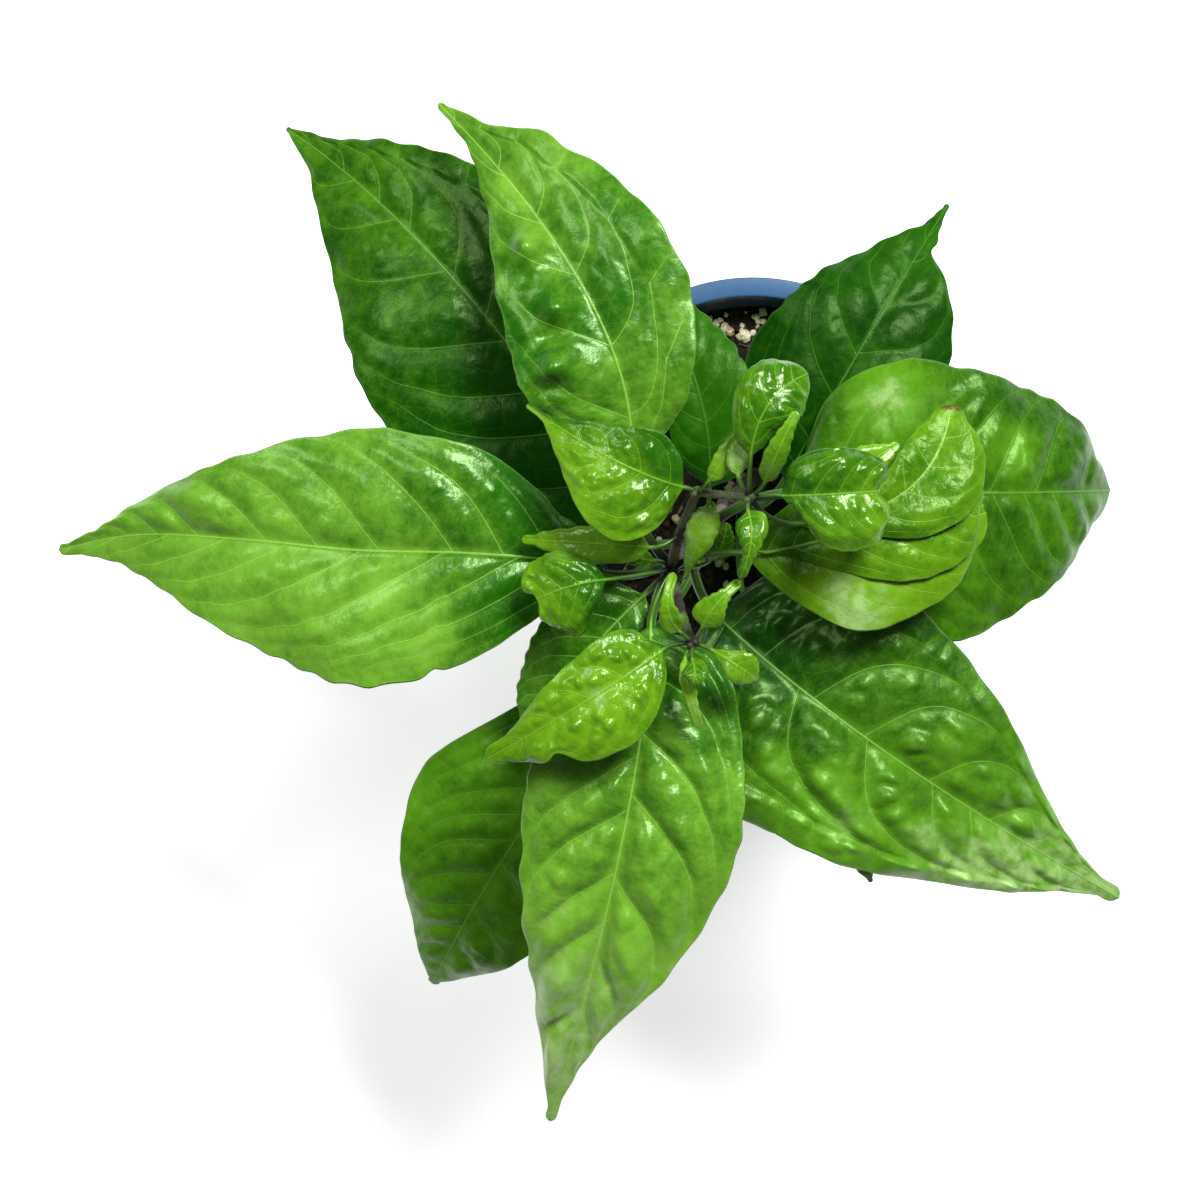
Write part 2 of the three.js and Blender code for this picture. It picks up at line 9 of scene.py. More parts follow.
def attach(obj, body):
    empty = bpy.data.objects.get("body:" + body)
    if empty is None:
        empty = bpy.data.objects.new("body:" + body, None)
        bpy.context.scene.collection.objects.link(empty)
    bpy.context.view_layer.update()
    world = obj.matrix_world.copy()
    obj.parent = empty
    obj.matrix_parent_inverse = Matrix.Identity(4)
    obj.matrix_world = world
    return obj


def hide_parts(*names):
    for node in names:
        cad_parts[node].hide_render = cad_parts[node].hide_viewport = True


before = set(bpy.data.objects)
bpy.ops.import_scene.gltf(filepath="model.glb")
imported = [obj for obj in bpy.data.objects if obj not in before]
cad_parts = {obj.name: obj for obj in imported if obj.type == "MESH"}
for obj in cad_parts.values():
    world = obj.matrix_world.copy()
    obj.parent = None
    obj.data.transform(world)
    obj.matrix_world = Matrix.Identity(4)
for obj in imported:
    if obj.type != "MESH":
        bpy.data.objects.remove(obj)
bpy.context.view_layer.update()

# Camera, floor and light. The camera looks down on the plant from a little right of and behind
# it. The floor is plain and pale. A soft lamp hangs over the far right side and a fainter one
# over the far left side.
EYE = Vector((0.034, 0.016, 0.742))
AIM = Vector((-0.0394, -0.0315, 0.092))
SENSOR_WIDTH = 36
LENS = 74.955
LAMP_AIM = Vector((0, 0, 0.12))
WHITE = (1, 1, 1, 1)
camera_data = bpy.data.cameras.new("camera")
camera_data.sensor_width = SENSOR_WIDTH
camera_data.lens = LENS
camera = bpy.data.objects.new("camera", camera_data)
bpy.context.scene.collection.objects.link(camera)
forward = (AIM - EYE).normalized()
right = forward.cross(Vector((0, 1, 0))).normalized()
turn = Matrix((right, right.cross(forward), -forward)).transposed()
camera.matrix_world = Matrix.Translation(EYE) @ turn.to_4x4()
bpy.context.scene.camera = camera


def hang_lamp(name, place, size, watts):
    """A square soft lamp that faces the plant."""
    data = bpy.data.lights.new(name, "AREA")
    data.size = size
    data.energy = watts
    lamp = bpy.data.objects.new(name, data)
    lamp.location = place
    lamp.rotation_euler = (LAMP_AIM - lamp.location).to_track_quat("-Z", "Y").to_euler()
    bpy.context.scene.collection.objects.link(lamp)


hang_lamp("key_lamp", Vector((0.43, 0.62, 1.2)), 0.36, 27)
hang_lamp("side_lamp", Vector((-0.55, 0.45, 1.15)), 0.4, 6)
world = bpy.data.worlds.new("studio")
world.use_nodes = True
sky = world.node_tree.nodes["Background"]
sky.inputs["Color"].default_value = WHITE
sky.inputs["Strength"].default_value = 0.14
bpy.context.scene.world = world
bpy.context.scene.view_settings.view_transform = "Standard"

floor_shape = bmesh.new()
bmesh.ops.create_grid(floor_shape, x_segments=1, y_segments=1, size=3)
floor_mesh = bpy.data.meshes.new("floor")
floor_shape.to_mesh(floor_mesh)
floor_shape.free()
floor = bpy.data.objects.new("floor", floor_mesh)
bpy.context.scene.collection.objects.link(floor)
floor_paint = bpy.data.materials.new("floor_paint")
floor_paint.use_nodes = True
floor_surface = floor_paint.node_tree.nodes["Principled BSDF"]
for socket, value in (("Base Color", (0.9, 0.9, 0.9, 1)), ("Roughness", 0.9),
                      ("Emission Color", WHITE), ("Emission Strength", 0.5)):
    floor_surface.inputs[socket].default_value = value
floor_mesh.materials.append(floor_paint)

# The pot is one moulding of blue polypropylene with a satin skin: a floor with drain holes, a
# tapered wall, and a lip turned out at the top with a short skirt that hangs from it.
MM = 0.001
POT_HEIGHT = 92
BASE_RADIUS = 36
WALL_FLARE = 12.8
FLOOR_RADIUS = 35
FOOT_CHAMFER = 1
RIM_RADIUS = 52.5
WALL = 1.3
FLOOR = 1.8
SKIRT_FOOT = 80
SKIRT_TAPER = 0.5
EDGE_ROUND = 0.55
SHARP_CORNER = math.radians(30)
DRAIN_HOLES = 8
DRAIN_RADIUS = 3.5
DRAIN_CIRCLE = 28
POT_STEPS = 144


class Wire:
    """One output in a material's node tree. Arithmetic on wires adds Math nodes."""

    def __init__(self, tree, socket=None):
        self.tree = tree
        self.socket = socket

    def node(self, kind, settings, sockets, output=0):
        """Adds a node: its settings come first, then its sockets' values or links."""
        made = self.tree.nodes.new("ShaderNode" + kind)
        for name, value in settings.items():
            setattr(made, name, value)
        for name, value in sockets.items():
            if isinstance(value, Wire):
                self.tree.links.new(value.socket, made.inputs[name])
            else:
                made.inputs[name].default_value = value
        return Wire(self.tree, made.outputs[output])

    def math(self, operation, first, second=0.0):
        return self.node("Math", {"operation": operation}, {0: first, 1: second})

    def __add__(self, other):
        return self.math("ADD", self, other)

    def __radd__(self, other):
        return self.math("ADD", other, self)

    def __sub__(self, other):
        return self.math("SUBTRACT", self, other)

    def __rsub__(self, other):
        return self.math("SUBTRACT", other, self)

    def __mul__(self, other):
        return self.math("MULTIPLY", self, other)

    def __rmul__(self, other):
        return self.math("MULTIPLY", other, self)

    def __abs__(self):
        return self.math("ABSOLUTE", self)

    def fade(self, start, end):
        """0 at the start value and before it, 1 at the end value and past it."""
        sockets = {"Value": self, "From Min": start, "From Max": end}
        return self.node("MapRange", {"interpolation_type": "SMOOTHSTEP"}, sockets)

    def mix(self, first, second):
        """The first colour where this wire is 0, and the second where it is 1."""
        return self.node("Mix", {"data_type": "RGBA"}, {0: self, 6: first, 7: second}, 2)

    def noise(self, place, scale, detail=2.0, rough=0.5):
        sockets = {"Vector": place, "Scale": scale, "Detail": detail, "Roughness": rough}
        return self.node("TexNoise", {}, sockets)


def begin_paint(name, **constants):
    """A new material with its constants set, as a wire for its nodes and its surface shader."""
    paint = bpy.data.materials.new(name)
    paint.use_nodes = True
    surface = paint.node_tree.nodes["Principled BSDF"]
    for socket, value in constants.items():
        surface.inputs[socket.replace("_", " ")].default_value = value
    return paint, Wire(paint.node_tree), surface


def feed(wire, surface, colour, roughness, height, distance):
    """Leads colour, roughness and a bump of that height in metres into the surface."""
    bump = wire.node("Bump", {}, {"Strength": 1.0, "Distance": distance, "Height": height})
    wire.tree.links.new(colour.socket, surface.inputs["Base Color"])
    wire.tree.links.new(roughness.socket, surface.inputs["Roughness"])
    wire.tree.links.new(bump.socket, surface.inputs["Normal"])


def put_piece(name, shape, paint, slot, *nodes):
    """Makes an object of a finished shape in metres, and says what it rides on and stands for."""
    mesh = bpy.data.meshes.new(name)
    shape.to_mesh(mesh)
    shape.free()
    mesh.shade_smooth()
    mesh.materials.append(paint)
    piece = bpy.data.objects.new(name, mesh)
    bpy.context.scene.collection.objects.link(piece)
    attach(piece, "root")
    if nodes:
        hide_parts(*nodes)
    return piece


def wall_radius(height):
    """Radius of the outer face of the pot's wall at a height."""
    return BASE_RADIUS + WALL_FLARE * height / POT_HEIGHT


def spin_outline(outline, steps):
    """Turns an outline of (radius, height) pairs about the upright axis into a closed shape."""
    shape = bmesh.new()
    corners = [shape.verts.new((radius, 0, height)) for radius, height in outline]
    edges = [shape.edges.new(pair) for pair in zip(corners, corners[1:])]
    bmesh.ops.spin(shape, geom=corners + edges, cent=(0, 0, 0), axis=(0, 0, 1),
                   angle=math.tau, steps=steps, use_merge=True)
    bmesh.ops.remove_doubles(shape, verts=shape.verts, dist=1e-4)
    bmesh.ops.recalc_face_normals(shape, faces=shape.faces)
    return shape


def applied(mesh, *modifiers):
    """A bmesh of the mesh with these modifiers applied, each a type and its settings."""
    carrier = bpy.data.objects.new("carrier", mesh)
    bpy.context.scene.collection.objects.link(carrier)
    for kind, settings in modifiers:
        modifier = carrier.modifiers.new(kind, kind)
        for name, value in settings.items():
            setattr(modifier, name, value)
    bpy.context.view_layer.update()
    finished = bmesh.new()
    finished.from_object(carrier, bpy.context.evaluated_depsgraph_get())
    bpy.data.objects.remove(carrier)
    return finished


def pot_shape():
    """The pot's outline spun round its axis, its corners rounded and its drain holes cut."""
    inner = wall_radius(POT_HEIGHT) - WALL
    lip_under = POT_HEIGHT - WALL
    shape = spin_outline([
        (0, 0), (FLOOR_RADIUS, 0), (wall_radius(FOOT_CHAMFER), FOOT_CHAMFER),
        (wall_radius(SKIRT_FOOT), SKIRT_FOOT),
        (wall_radius(lip_under), lip_under), (RIM_RADIUS - WALL, lip_under),
        (RIM_RADIUS - WALL - SKIRT_TAPER, SKIRT_FOOT), (RIM_RADIUS - SKIRT_TAPER, SKIRT_FOOT),
        (RIM_RADIUS, POT_HEIGHT), (inner, POT_HEIGHT), (wall_radius(FLOOR) - WALL, FLOOR), (0, FLOOR),
    ], POT_STEPS)
    sharp = [edge for edge in shape.edges if edge.calc_face_angle(0) > SHARP_CORNER]
    bmesh.ops.bevel(shape, geom=sharp, offset=EDGE_ROUND, segments=4, profile=0.5, affect="EDGES",
                    clamp_overlap=True, material=-1)
    mesh = bpy.data.meshes.new("pot_blank")
    shape.to_mesh(mesh)
    shape.free()
    drills = bmesh.new()
    for i in range(DRAIN_HOLES):
        angle = (i + 0.5) / DRAIN_HOLES * math.tau
        place = (DRAIN_CIRCLE * math.cos(angle), DRAIN_CIRCLE * math.sin(angle), FLOOR / 2)
        bmesh.ops.create_cone(drills, cap_ends=True, segments=32, radius1=DRAIN_RADIUS,
                              radius2=DRAIN_RADIUS, depth=3 * FLOOR, matrix=Matrix.Translation(place))
    drill_mesh = bpy.data.meshes.new("drills")
    drills.to_mesh(drill_mesh)
    drills.free()
    drill = bpy.data.objects.new("drills", drill_mesh)
    bpy.context.scene.collection.objects.link(drill)
    pot = applied(mesh, ("BOOLEAN", {"object": drill, "operation": "DIFFERENCE", "solver": "EXACT"}))
    bpy.data.objects.remove(drill)
    bmesh.ops.scale(pot, vec=(MM, MM, MM), verts=pot.verts)
    return pot


def pot_paint():
    """Satin blue plastic: faint cloudy tone, fine scuffs, painted shade darkening the inner wall, and
    dust below the level of the mix.
    """
    paint, wire, surface = begin_paint("pot_plastic", Coat_Weight=0.15, Coat_Roughness=0.2)
    place = wire.node("TexCoord", {}, {}, "Object")
    height = wire.node("SeparateXYZ", {}, {"Vector": place}, "Z")
    cloud = wire.noise(place, 60, 4)
    scuff = wire.noise(wire.node("Mapping", {}, {"Vector": place, "Scale": (1, 1, 0.12)}), 900, 5, 0.7)
    dust = wire.noise(place, 420, 6, 0.7).fade(0.56, 0.72)
    low = height.fade(0.083, 0.078)
    flat = wire.node("VectorMath", {"operation": "MULTIPLY"}, {0: place, 1: (1, 1, 0)})
    reach = wire.node("VectorMath", {"operation": "LENGTH"}, {0: flat}, 1)
    # Mask of the inner wall. There the blue is darkened to near-black as painted shade, and made
    # rougher.
    inside = reach.fade(0.0479, 0.0475) * height.fade(0.0915, 0.086)
    blue = cloud.mix((0.018, 0.08, 0.19, 1), (0.026, 0.102, 0.225, 1))
    blue = (scuff.fade(0.6, 0.78) * 0.25).mix(blue, (0.08, 0.2, 0.34, 1))
    blue = (inside * 0.8).mix(blue, (0.004, 0.016, 0.045, 1))
    blue = (dust * low * 0.7).mix(blue, (0.03, 0.022, 0.016, 1))
    roughness = 0.36 + 0.16 * scuff + 0.2 * dust * low + 0.3 * inside
    feed(wire, surface, blue, roughness, scuff * 0.5 + cloud, 0.00008)
    return paint


put_piece("blue_pot", pot_shape(), pot_paint(), "pot_plastic", "pot")

# The potting mix fills the pot to 14 mm below the rim: peat and bark crumbs, dark and moist,
# poured in and pressed down, with cream perlite grains that stand out of it.
SOIL_TOP = 78
SOIL_BOTTOM = 2.1
SOIL_GAP = 0.3
SOIL_RINGS = 92
SOIL_STEPS = 288
SIDE_HEIGHTS = (60, 40, 20)
UNEVENNESS = 1.1
LEVEL_FROM = 0.9
LEVEL_BAND = 0.1
SETTLED = 0.2
STEM_FOOT = (0.5, 0.5)


def soil_side(height):
    """Radius of the mix where it meets the wall at a height."""
    return wall_radius(height) - WALL - SOIL_GAP


SOIL_SIDE = soil_side(SOIL_TOP)


def soil_height(x, y):
    """Height of the uneven top of the mix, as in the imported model."""
    rolls = math.sin(x * 0.21 + 0.8) * math.cos(y * 0.17 - 0.4)
    lumps = math.sin(x * 0.63 + y * 0.41) * math.cos(y * 0.57 - x * 0.22)
    share = min(1, max(0, (math.hypot(x, y) / SOIL_SIDE - LEVEL_FROM) / LEVEL_BAND))
    level = share * share * (3 - 2 * share)
    return SOIL_TOP + UNEVENNESS * (0.6 * rolls + 0.4 * lumps) * (1 - level)


def soil_shape():
    """The filling as a spun shape, its top raised and lowered into crumbs and hollows."""
    outline = [(SOIL_SIDE * i / SOIL_RINGS, SOIL_TOP) for i in range(SOIL_RINGS + 1)]
    outline += [(soil_side(height), height) for height in (*SIDE_HEIGHTS, SOIL_BOTTOM)]
    outline += [(0, SOIL_BOTTOM)]
    shape = spin_outline(outline, SOIL_STEPS)
    for vert in shape.verts:
        x, y, z = vert.co
        if z < SOIL_TOP - 0.01:
            continue
        grit = noise.noise(Vector((x, y, 3)) * 0.9) + 0.6 * noise.noise(Vector((x, y, 9)) * 2.1)
        hollow = noise.noise(Vector((x, y, 20)) * 0.35)
        wall = min(1, (SOIL_SIDE - math.hypot(x, y)) / 2)
        vert.co.z = soil_height(x, y) + (0.55 * grit + 0.5 * hollow) * wall - SETTLED
    bmesh.ops.scale(shape, vec=(MM, MM, MM), verts=shape.verts)
    return shape


def soil_paint():
    """Moist peat: almost black, with brown fibres and matt crumbs."""
    paint, wire, surface = begin_paint("moist_peat", Specular_IOR_Level=0.3)
    place = wire.node("TexCoord", {}, {}, "Object")
    coarse = wire.noise(place, 500, 6, 0.7)
    fine = wire.noise(place, 2600, 5, 0.75)
    speck = wire.node("TexVoronoi", {}, {"Vector": place, "Scale": 700.0}, "Color")
    tone = wire.node("SeparateColor", {}, {"Color": speck}, 0)
    brown = coarse.mix((0.003, 0.0024, 0.002, 1), (0.014, 0.009, 0.006, 1))
    brown = (tone.fade(0.82, 0.95) * 0.6).mix(brown, (0.085, 0.05, 0.028, 1))
    feed(wire, surface, brown, 0.7 + 0.25 * fine, coarse + fine * 0.5, 0.0006)
    return paint


def add_lumps(shape, places, subdivisions, rough, squash):
    """Adds an irregular lump at each (x, y, z, radius) place, turned at random."""
    for x, y, z, radius in places:
        lump = bmesh.ops.create_icosphere(shape, subdivisions=subdivisions, radius=radius)["verts"]
        angle = dice.uniform(0, math.tau)
        turn = Matrix.Rotation(angle, 4, Vector((dice.random(), dice.random(), 1)))
        stretch = Matrix.Diagonal((dice.uniform(0.7, 1.3), dice.uniform(0.7, 1.2), squash, 1))
        seed = Vector((x, y, radius)) * 3.1
        for vert in lump:
            way = vert.co.normalized()
            vert.co *= 1 + rough * noise.noise(way * 1.7 + seed)
        placed = Matrix.Translation((x, y, z)) @ turn @ stretch
        bmesh.ops.transform(shape, matrix=placed, verts=lump)


WALL_CLEARANCE = 1.6
dice = random.Random(11)
moist_peat = soil_paint()
put_piece("potting_mix", soil_shape(), moist_peat, "potting_mix", "soil")


def strewn(count, low, high, rise, clear):
    """Random (x, y, z, radius) places on the mix, clear of the stem. Rise is a share of the radius."""
    places = []
    while len(places) < count:
        reach = math.sqrt(dice.random()) * (SOIL_SIDE - WALL_CLEARANCE)
        angle = dice.uniform(0, math.tau)
        x, y = reach * math.cos(angle), reach * math.sin(angle)
        radius = dice.uniform(low, high)
        if math.hypot(x - STEM_FOOT[0], y - STEM_FOOT[1]) > clear:
            places.append((x, y, soil_height(x, y) + rise * radius, radius))
    return places


crumb_shape = bmesh.new()
small_crumbs = strewn(count=620, low=0.5, high=1.3, rise=-0.1, clear=3.4)
add_lumps(crumb_shape, small_crumbs, subdivisions=2, rough=0.55, squash=0.8)
large_crumbs = strewn(count=60, low=1.3, high=2.1, rise=-0.2, clear=5)
add_lumps(crumb_shape, large_crumbs, subdivisions=2, rough=0.6, squash=0.6)
bmesh.ops.scale(crumb_shape, vec=(MM, MM, MM), verts=crumb_shape.verts)
put_piece("peat_crumbs", crumb_shape, moist_peat, "potting_mix")


def bark_paint():
    """Weathered bark and wood slivers, tan to dark brown."""
    paint, wire, surface = begin_paint("bark_sliver")
    place = wire.node("TexCoord", {}, {}, "Object")
    tone = wire.noise(place, 180, 3)
    grain = wire.noise(place, 1800, 4, 0.7)
    brown = tone.fade(0.35, 0.65).mix((0.035, 0.02, 0.011, 1), (0.19, 0.11, 0.055, 1))
    feed(wire, surface, brown, 0.65 + 0.3 * grain, grain, 0.0003)
    return paint


sliver_shape = bmesh.new()
for x, y, z, radius in strewn(count=110, low=0.35, high=0.9, rise=0.5, clear=4):
    sliver = bmesh.ops.create_cube(sliver_shape, size=radius)["verts"]
    turn = Matrix.Rotation(dice.uniform(0, math.tau), 4, "Z")
    turn = turn @ Matrix.Rotation(dice.gauss(0, 0.25), 4, "Y")
    stretch = Matrix.Diagonal((dice.uniform(3, 9), dice.uniform(0.6, 1.3), 0.45, 1))
    for vert in sliver:
        vert.co *= dice.uniform(0.6, 1.1)
    placed = Matrix.Translation((x, y, z)) @ turn @ stretch
    bmesh.ops.transform(sliver_shape, matrix=placed, verts=sliver)
bmesh.ops.bevel(sliver_shape, geom=list(sliver_shape.edges), offset=0.1, segments=2, profile=0.5,
                affect="EDGES", clamp_overlap=True, material=-1)
bmesh.ops.scale(sliver_shape, vec=(MM, MM, MM), verts=sliver_shape.verts)
put_piece("bark_slivers", sliver_shape, bark_paint(), "potting_mix")


def perlite_paint():
    """Cream volcanic glass foam: chalky, pitted, stained tan where it is wet."""
    paint, wire, surface = begin_paint("perlite", Subsurface_Weight=0.1)
    place = wire.node("TexCoord", {}, {}, "Object")
    stain = wire.noise(place, 170, 3)
    pits = wire.node("TexVoronoi", {}, {"Vector": place, "Scale": 2600.0}, "Distance")
    cream = stain.fade(0.42, 0.66).mix((0.8, 0.7, 0.46, 1), (0.42, 0.29, 0.13, 1))
    cream = pits.fade(0.25, 0.05).mix(cream, (0.3, 0.22, 0.14, 1))
    feed(wire, surface, cream, 0.8 + 0.1 * pits, pits, 0.0004)
    return paint


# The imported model's grains, and the recipe of the random numbers that strewed them
PACKED_GRAINS = 28
GRAIN_SIZE = 1.5
FACTOR, SHIFT, WHOLE = 1664525, 1013904223, 4294967296


def packed_grains():
    """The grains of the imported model, from the same random numbers."""
    state = 7
    grains = []
    for _ in range(PACKED_GRAINS):
        draws = []
        for _ in range(3):
            state = (state * FACTOR + SHIFT) % WHOLE
            draws.append(state / WHOLE)
        reach = math.sqrt(0.02 + 0.9 * draws[0]) * (SOIL_SIDE - 3)
        x, y = reach * math.cos(draws[1] * math.tau), reach * math.sin(draws[1] * math.tau)
        if math.hypot(x - STEM_FOOT[0], y - STEM_FOOT[1]) > 7:
            grains.append((x, y, soil_height(x, y), GRAIN_SIZE * (0.6 + 0.5 * draws[2])))
    return grains


# Grains that the photograph shows near the wall and beside the stem: x, y and radius
SEEN_GRAINS = (
    (-11.8, 42.2, 0.9), (-10.2, 40.9, 1.1), (-9, 42, 0.8), (-7.9, 40.4, 0.9), (-6.5, 39, 1.4),
    (-9.2, 37.5, 1.1), (-7.3, 35.9, 1.1), (-5.2, 33.8, 0.9), (-3.2, 40.4, 0.8), (-2.6, 37.7, 1.9),
    (0.5, 42.6, 1.1), (1.1, 41.4, 0.9), (2.4, 41.5, 0.9), (2.3, 44, 1.2), (-7.4, 43.4, 0.7),
    (-2.1, 44, 0.5), (-3, 0.3, 1.3), (-6.2, -2.4, 1.4),
)
perlite_shape = bmesh.new()
grains = packed_grains() + strewn(count=85, low=0.5, high=1.4, rise=0.35, clear=4.5)
add_lumps(perlite_shape, grains, subdivisions=2, rough=0.5, squash=0.85)
seen = [(x, y, soil_height(x, y) + 0.45 * radius, radius) for x, y, radius in SEEN_GRAINS]
add_lumps(perlite_shape, seen, subdivisions=3, rough=0.5, squash=0.85)
bmesh.ops.scale(perlite_shape, vec=(MM, MM, MM), verts=perlite_shape.verts)
put_piece("perlite_grains", perlite_shape, perlite_paint(), "potting_mix")

# The stem and its side shoots grew as one: green wood with fine ridges, greyish below, swollen where
# leaves join it and purple-black there, partly its own purple and partly painted shade, with small
# round buds between the youngest leaves.
NODES = {
    "soil": ((0.5, 0.5, 80), 2.5), "first": ((-1.5, -2, 104), 2.4), "second": ((-4.5, -5.5, 122), 2.3),
    "third": ((-8, -10, 138), 2.2), "fourth": ((-11, -14.5, 152), 2.0),
    "fork": ((-14.3, -18.6, 165), 1.8), "northLow": ((-11.5, -10, 178), 1.4),
    "north": ((-6.7, -0.2, 190), 1.3), "east": ((5.4, -1.2, 198), 1.1),
    "southLow": ((-11.5, -26.5, 178), 1.3), "south": ((-7.4, -33.6, 191), 1.2),
}
RUNS = (
    ("soil", "first", "second"), ("second", "third", "fourth"), ("fourth", "fork"),
    ("fork", "northLow", "north"), ("north", "east"), ("fork", "southLow", "south"),
)
GROWING_TIPS = ("north", "east", "south")
DARK_NODES = ("first", "second", "third", "fourth", "fork", "northLow", "southLow", "south")
RUN_SLIMMING = 0.82
BALL_STEP = 0.55
STEM_BOTTOM = 57
STEM_RADIUS = 2.3
FLARE, FLARE_HEIGHT, FLARE_REACH = 0.35, 77, 6
NODE_SWELL, NODE_SQUASH = 1.12, 0.85
BUD_RADIUS, BUD_TALL = 0.9, 1.5
SKIN_VOXEL = 0.27
KNOT_REACH = 3.5
RIDGE_HEIGHT = 0.16


def arc(start, middle, end, t):
    """A curve of second degree from start to end that passes middle half way."""
    control = 2 * middle - (start + end) / 2
    return (1 - t) ** 2 * start + 2 * t * (1 - t) * control + t * t * end


def add_ball(shape, centre, radius, tall=1.0):
    """Adds a ball, stretched or squashed upright by that factor."""
    matrix = Matrix.Translation(centre) @ Matrix.Diagonal((1, 1, tall, 1))
    bmesh.ops.create_icosphere(shape, subdivisions=2, radius=radius, matrix=matrix)


def stem_shape():
    """A chain of balls along each run and at each node, melted into one skin, then ridged."""
    balls = bmesh.new()
    for names in RUNS:
        places = [Vector(NODES[name][0]) for name in names]
        radii = [NODES[name][1] * RUN_SLIMMING for name in (names[0], names[-1])]
        middle = places[1] if len(places) == 3 else (places[0] + places[-1]) / 2
        count = round((places[-1] - places[0]).length / BALL_STEP)
        for i in range(count + 1):
            t = i / count
            radius = radii[0] + (radii[1] - radii[0]) * t
            add_ball(balls, arc(places[0], middle, places[-1], t), radius)
    for height in range(STEM_BOTTOM, NODES["soil"][0][2]):
        flare = FLARE * max(0, 1 - abs(height - FLARE_HEIGHT) / FLARE_REACH)
        add_ball(balls, (STEM_FOOT[0], STEM_FOOT[1], height), STEM_RADIUS + flare)
    for place, radius in NODES.values():
        add_ball(balls, place, radius * NODE_SWELL, NODE_SQUASH)
    for name in GROWING_TIPS:
        (x, y, z), radius = NODES[name]
        for side in (-1, 1):
            add_ball(balls, (x + side * 0.6, y + side * 0.4, z + radius), BUD_RADIUS, BUD_TALL)
    mesh = bpy.data.meshes.new("stem_blank")
    balls.to_mesh(mesh)
    balls.free()
    stem = applied(mesh, ("REMESH", {"mode": "VOXEL", "voxel_size": SKIN_VOXEL}),
                   ("SMOOTH", {"factor": 0.5, "iterations": 4}))
    stem.normal_update()
    node_purple_and_shade_layer = stem.verts.layers.float.new("node_purple_and_shade")
    for vert in stem.verts:
        gaps = [(vert.co - Vector(NODES[name][0])).length - NODES[name][1] for name in DARK_NODES]
        vert[node_purple_and_shade_layer] = max(0, 1 - max(0, min(gaps)) / KNOT_REACH)
        ridge = noise.noise(Vector((vert.co.x * 1.6, vert.co.y * 1.6, vert.co.z * 0.12)))
        vert.co += vert.normal * (RIDGE_HEIGHT * ridge)
    bmesh.ops.scale(stem, vec=(MM, MM, MM), verts=stem.verts)
    return stem


def stem_paint():
    """Green to greyish tan skin with fine long ridges, purple-black at the swollen nodes, partly purple
    skin and partly painted shade.
    """
    paint, wire, surface = begin_paint("stem_skin", Subsurface_Weight=0.05)
    place = wire.node("TexCoord", {}, {}, "Object")
    height = wire.node("SeparateXYZ", {}, {"Vector": place}, "Z")
    node_purple_and_shade = wire.node("Attribute", {"attribute_name": "node_purple_and_shade"}, {}, "Fac")
    blotch = wire.noise(place, 320, 4, 0.6)
    stretched = wire.node("Mapping", {}, {"Vector": place, "Scale": (1, 1, 0.12)})
    ridge = wire.noise(stretched, 2200, 4, 0.6)
    skin = height.fade(0.12, 0.19).mix((0.11, 0.095, 0.06, 1), (0.035, 0.075, 0.014, 1))
    skin = (ridge.fade(0.35, 0.7) * 0.5).mix(skin, (0.15, 0.145, 0.1, 1))
    # Near-black at the nodes and in blotches near them: partly the stem's own purple, partly painted
    # shade.
    purple_and_shade = (node_purple_and_shade + (blotch - 0.5) * 0.9).fade(0.1, 0.5)
    skin = (purple_and_shade * 0.92).mix(skin, (0.018, 0.010, 0.016, 1))
    feed(wire, surface, skin, 0.42 + 0.2 * ridge, ridge + blotch * 0.4, 0.00022)
    return paint


put_piece("pepper_stem", stem_shape(), stem_paint(), "stem", "stem")

# The large old leaves: each grew as one thin blade, glossy above and paler below, on a round
# stalk that runs on as the midrib. Side veins sit in grooves and the blade puffs up between.
BLADE_THICKNESS = 0.32
STATIONS = (0, 0.08, 0.25, 0.45, 0.65, 0.85, 1)
STALK_BEND = 0.45
STALK_THINNEST, STALK_THICKEST = 0.5, 1.15
USUAL_BREADTH = 45
CELL_SIZE = 5.5
NECK_PLACE, NECK_REACH = 0.92, 0.055
TURN_START, TURN_BAND = 0.7, 0.3
FAR_SIDE_SHIFT = 1.9
GROOVE_REACH = 1.2
RIB_VALLEY = 2.6
FULL_SPACING = 11
UNEVEN_SIZE, ROLL_SIZE, CRINKLE_SIZE, WRINKLE_SIZE = 6, 21, 5.5, 2.4
NOTCH_REACH = 2.5
DRY_EDGE = 0.015
FIRST_SEED = 40
PLAIN_VEINS = (0.07, 0.2, 0.33, 0.46, 0.59, 0.71, 0.82)
OVAL = (0.6, 0.95, 1, 0.85, 0.5)
SPOON = (0.25, 0.55, 0.9, 1, 0.75)


def scaled(shape, half):
    """Half widths at the inner stations, from their shares of the widest one."""
    return [share * half for share in shape]


def smooth(value):
    """An even step from 0 to 1, held at both ends."""
    value = min(1, max(0, value))
    return value * value * (3 - 2 * value)


def lerp(first, second, share):
    return first + (second - first) * share


def at_share(values, t):
    """A smooth curve through values at the inner stations, and 0 at both ends."""
    heights = (0, *values, 0)
    last = len(STATIONS) - 1

    def slope(i):
        low, high = max(i - 1, 0), min(i + 1, last)
        return (heights[high] - heights[low]) / (STATIONS[high] - STATIONS[low])

    i = min(sum(station <= t for station in STATIONS) - 1, last - 1)
    span = STATIONS[i + 1] - STATIONS[i]
    u = (t - STATIONS[i]) / span
    rise = (heights[i + 1] - heights[i]) / span
    bend = (1 - u) * slope(i) - u * slope(i + 1) - (1 - 2 * u) * rise
    return lerp(heights[i], heights[i + 1], u) + u * (1 - u) * span * bend


